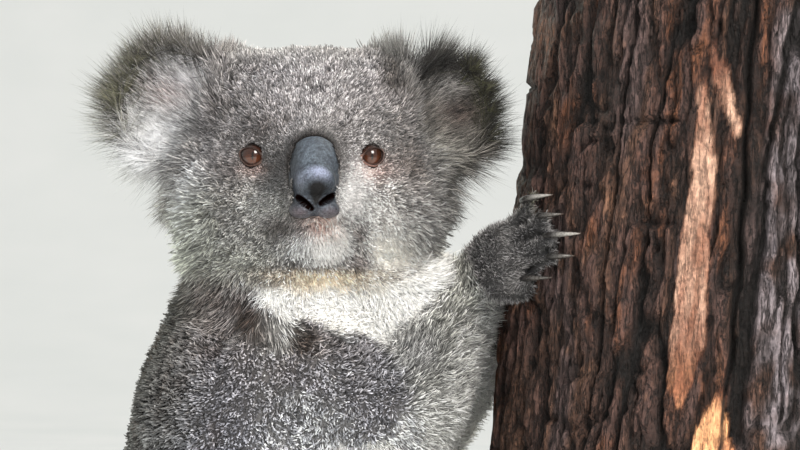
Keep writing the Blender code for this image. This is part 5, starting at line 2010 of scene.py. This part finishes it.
    def sawn(self, offsets: Array, reach: float) -> Array:
        """End grain: pale sapwood, browner heart, a dark line at each growth ring, and bark at the rim."""
        radius = np.hypot(offsets[:, 0], offsets[:, 1])
        wobble = 0.0022 * noise(offsets, 0.03, 91)
        ring = 0.5 + 0.5 * np.sin((radius + wobble) / self.growth_ring * 2 * np.pi)
        tone = tinted(linear("#B98F66"), "#8A5A3B", smooth(0.09, 0.04, radius))
        tone = mixed(tone, tone * 0.62, ring**3)
        return tinted(tone, "#2E211B", smooth(0.93, 0.97, radius / (reach / self.sawn_share)))


@dataclass
class Stand:
    """The display stand: the solids as they are, with their finishes."""

    def build(self) -> None:
        """Lacquered oak for the base and turned steel for the rods."""
        board, bar = BaseFinish().build(), RodFinish().build()
        for node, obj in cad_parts.items():
            if node.startswith("stand_"):
                finish = board if node == "stand_base" else bar
                obj.data.materials.clear()
                obj.data.materials.append(finish)
                log.info("%s: finished as %s", node, finish.name)


# ---- the studio


@dataclass(frozen=True)
class Lamp:
    """A square soft lamp: place and size in metres, power in watts; without glints it leaves no shine."""

    name: str
    place: Triple
    size: float
    power: float
    colour: str
    glints: bool = True
    target: Triple = (-0.08, 0.0, 0.45)

    def build(self) -> None:
        """The lamp at its place, turned to its target."""
        data = bpy.data.lights.new(self.name, "AREA")
        data.size, data.energy, data.color = self.size, self.power, tuple(linear(self.colour))
        lamp = bpy.data.objects.new(self.name, data)
        bpy.context.scene.collection.objects.link(lamp)
        lamp.visible_glossy = self.glints
        lamp.location = self.place
        lamp.rotation_euler = (Vector(self.target) - Vector(self.place)).to_track_quat("-Z", "Y").to_euler()


@dataclass
class Studio:
    """A pale paper sweep, soft lamps and the camera."""

    camera_place: Triple = (-0.070, -2.505, 0.507)
    lens: float = 203.0
    sensor: float = 36.0
    sky: str = "#F1F3F2"
    sky_strength: float = 0.72
    # The sweep's front edge, where its bend starts, the bend's radius, its height and its half width, in metres.
    front: float = -12.0
    bend_start: float = 8.5
    bend_radius: float = 5.0
    height: float = 11.0
    half_width: float = 15.0
    lamps: tuple[Lamp, ...] = (
        Lamp("key", (0.9, -1.9, 2.3), 1.1, 80.0, "#FFF9F3"),
        Lamp("fill", (-2.2, -1.4, 1.0), 2.0, 26.0, "#F2F5FF", glints=False),
        Lamp("low", (0.3, -2.6, 0.35), 1.4, 37.0, "#FFFFFF", glints=False),
        Lamp("rim_right", (1.2, 1.5, 1.7), 1.2, 60.0, "#FFFBEF"),
        Lamp("rim_left", (-1.4, 1.4, 1.3), 1.2, 24.0, "#FBFFF0"),
        Lamp("wash", (0.0, 6.5, 6.0), 5.0, 170.0, "#FFFFFF", glints=False, target=(0.0, 13.0, 1.2)),
    )

    def build(self) -> None:
        """Makes the sweep, the lamps, the sky and the camera."""
        self.sweep()
        for lamp in self.lamps:
            lamp.build()
        world = bpy.data.worlds.new("studio_air")
        world.use_nodes = True
        fill(world.node_tree.nodes["Background"], {0: rgba(self.sky), 1: self.sky_strength})
        bpy.context.scene.world = world
        bpy.context.scene.view_settings.view_transform = "Standard"
        self.camera()

    def sweep(self) -> None:
        """Floor and back as one sheet: flat, a quarter circle, then upright, far behind the model."""
        bend, radius = np.linspace(0, np.pi / 2, 32), self.bend_radius
        curve = np.stack([self.bend_start + radius * np.sin(bend), radius - radius * np.cos(bend)], axis=1)
        line = np.concatenate([[(self.front, 0.0)], curve, [(self.bend_start + radius, self.height)]])
        across = np.linspace(-self.half_width, self.half_width, 31)
        rows, columns = len(line), len(across)
        points = np.stack(
            [np.tile(across, rows), np.repeat(line[:, 0], columns), np.repeat(line[:, 1], columns)], axis=1
        )
        paper = mesh_object("studio_paper", points, grid_faces(rows, columns, around=False))
        paper.data.materials.append(PaperFinish().build())

    def camera(self) -> None:
        """A long lens, level with the animal's shoulder."""
        data = bpy.data.cameras.new("camera")
        data.lens, data.sensor_width = self.lens, self.sensor
        camera = bpy.data.objects.new("camera", data)
        bpy.context.scene.collection.objects.link(camera)
        camera.location = self.camera_place
        camera.rotation_euler = (math.pi / 2, 0, 0)
        bpy.context.scene.camera = camera


def main() -> None:
    """Builds the studio and every piece, and logs their sizes."""
    logging.basicConfig(level=logging.INFO, format="%(name)s %(relativeCreated)d ms %(message)s")
    Studio().build()
    anatomy, nose_shape = Anatomy(), NoseShape()
    skin = SkinMap(anatomy, nose_shape)
    log.info("skin worked out: %d vertices", len(skin.points))
    skin.build()
    CoatMaker(skin).build()
    Nose(anatomy, nose_shape).build()
    for side in Side:
        eye = Eye(anatomy, side)
        eye.ball()
        eye.lids()
    Claws(anatomy).build()
    Perch(anatomy).build()
    Stand().build()


if __name__ == "__main__":
    main()
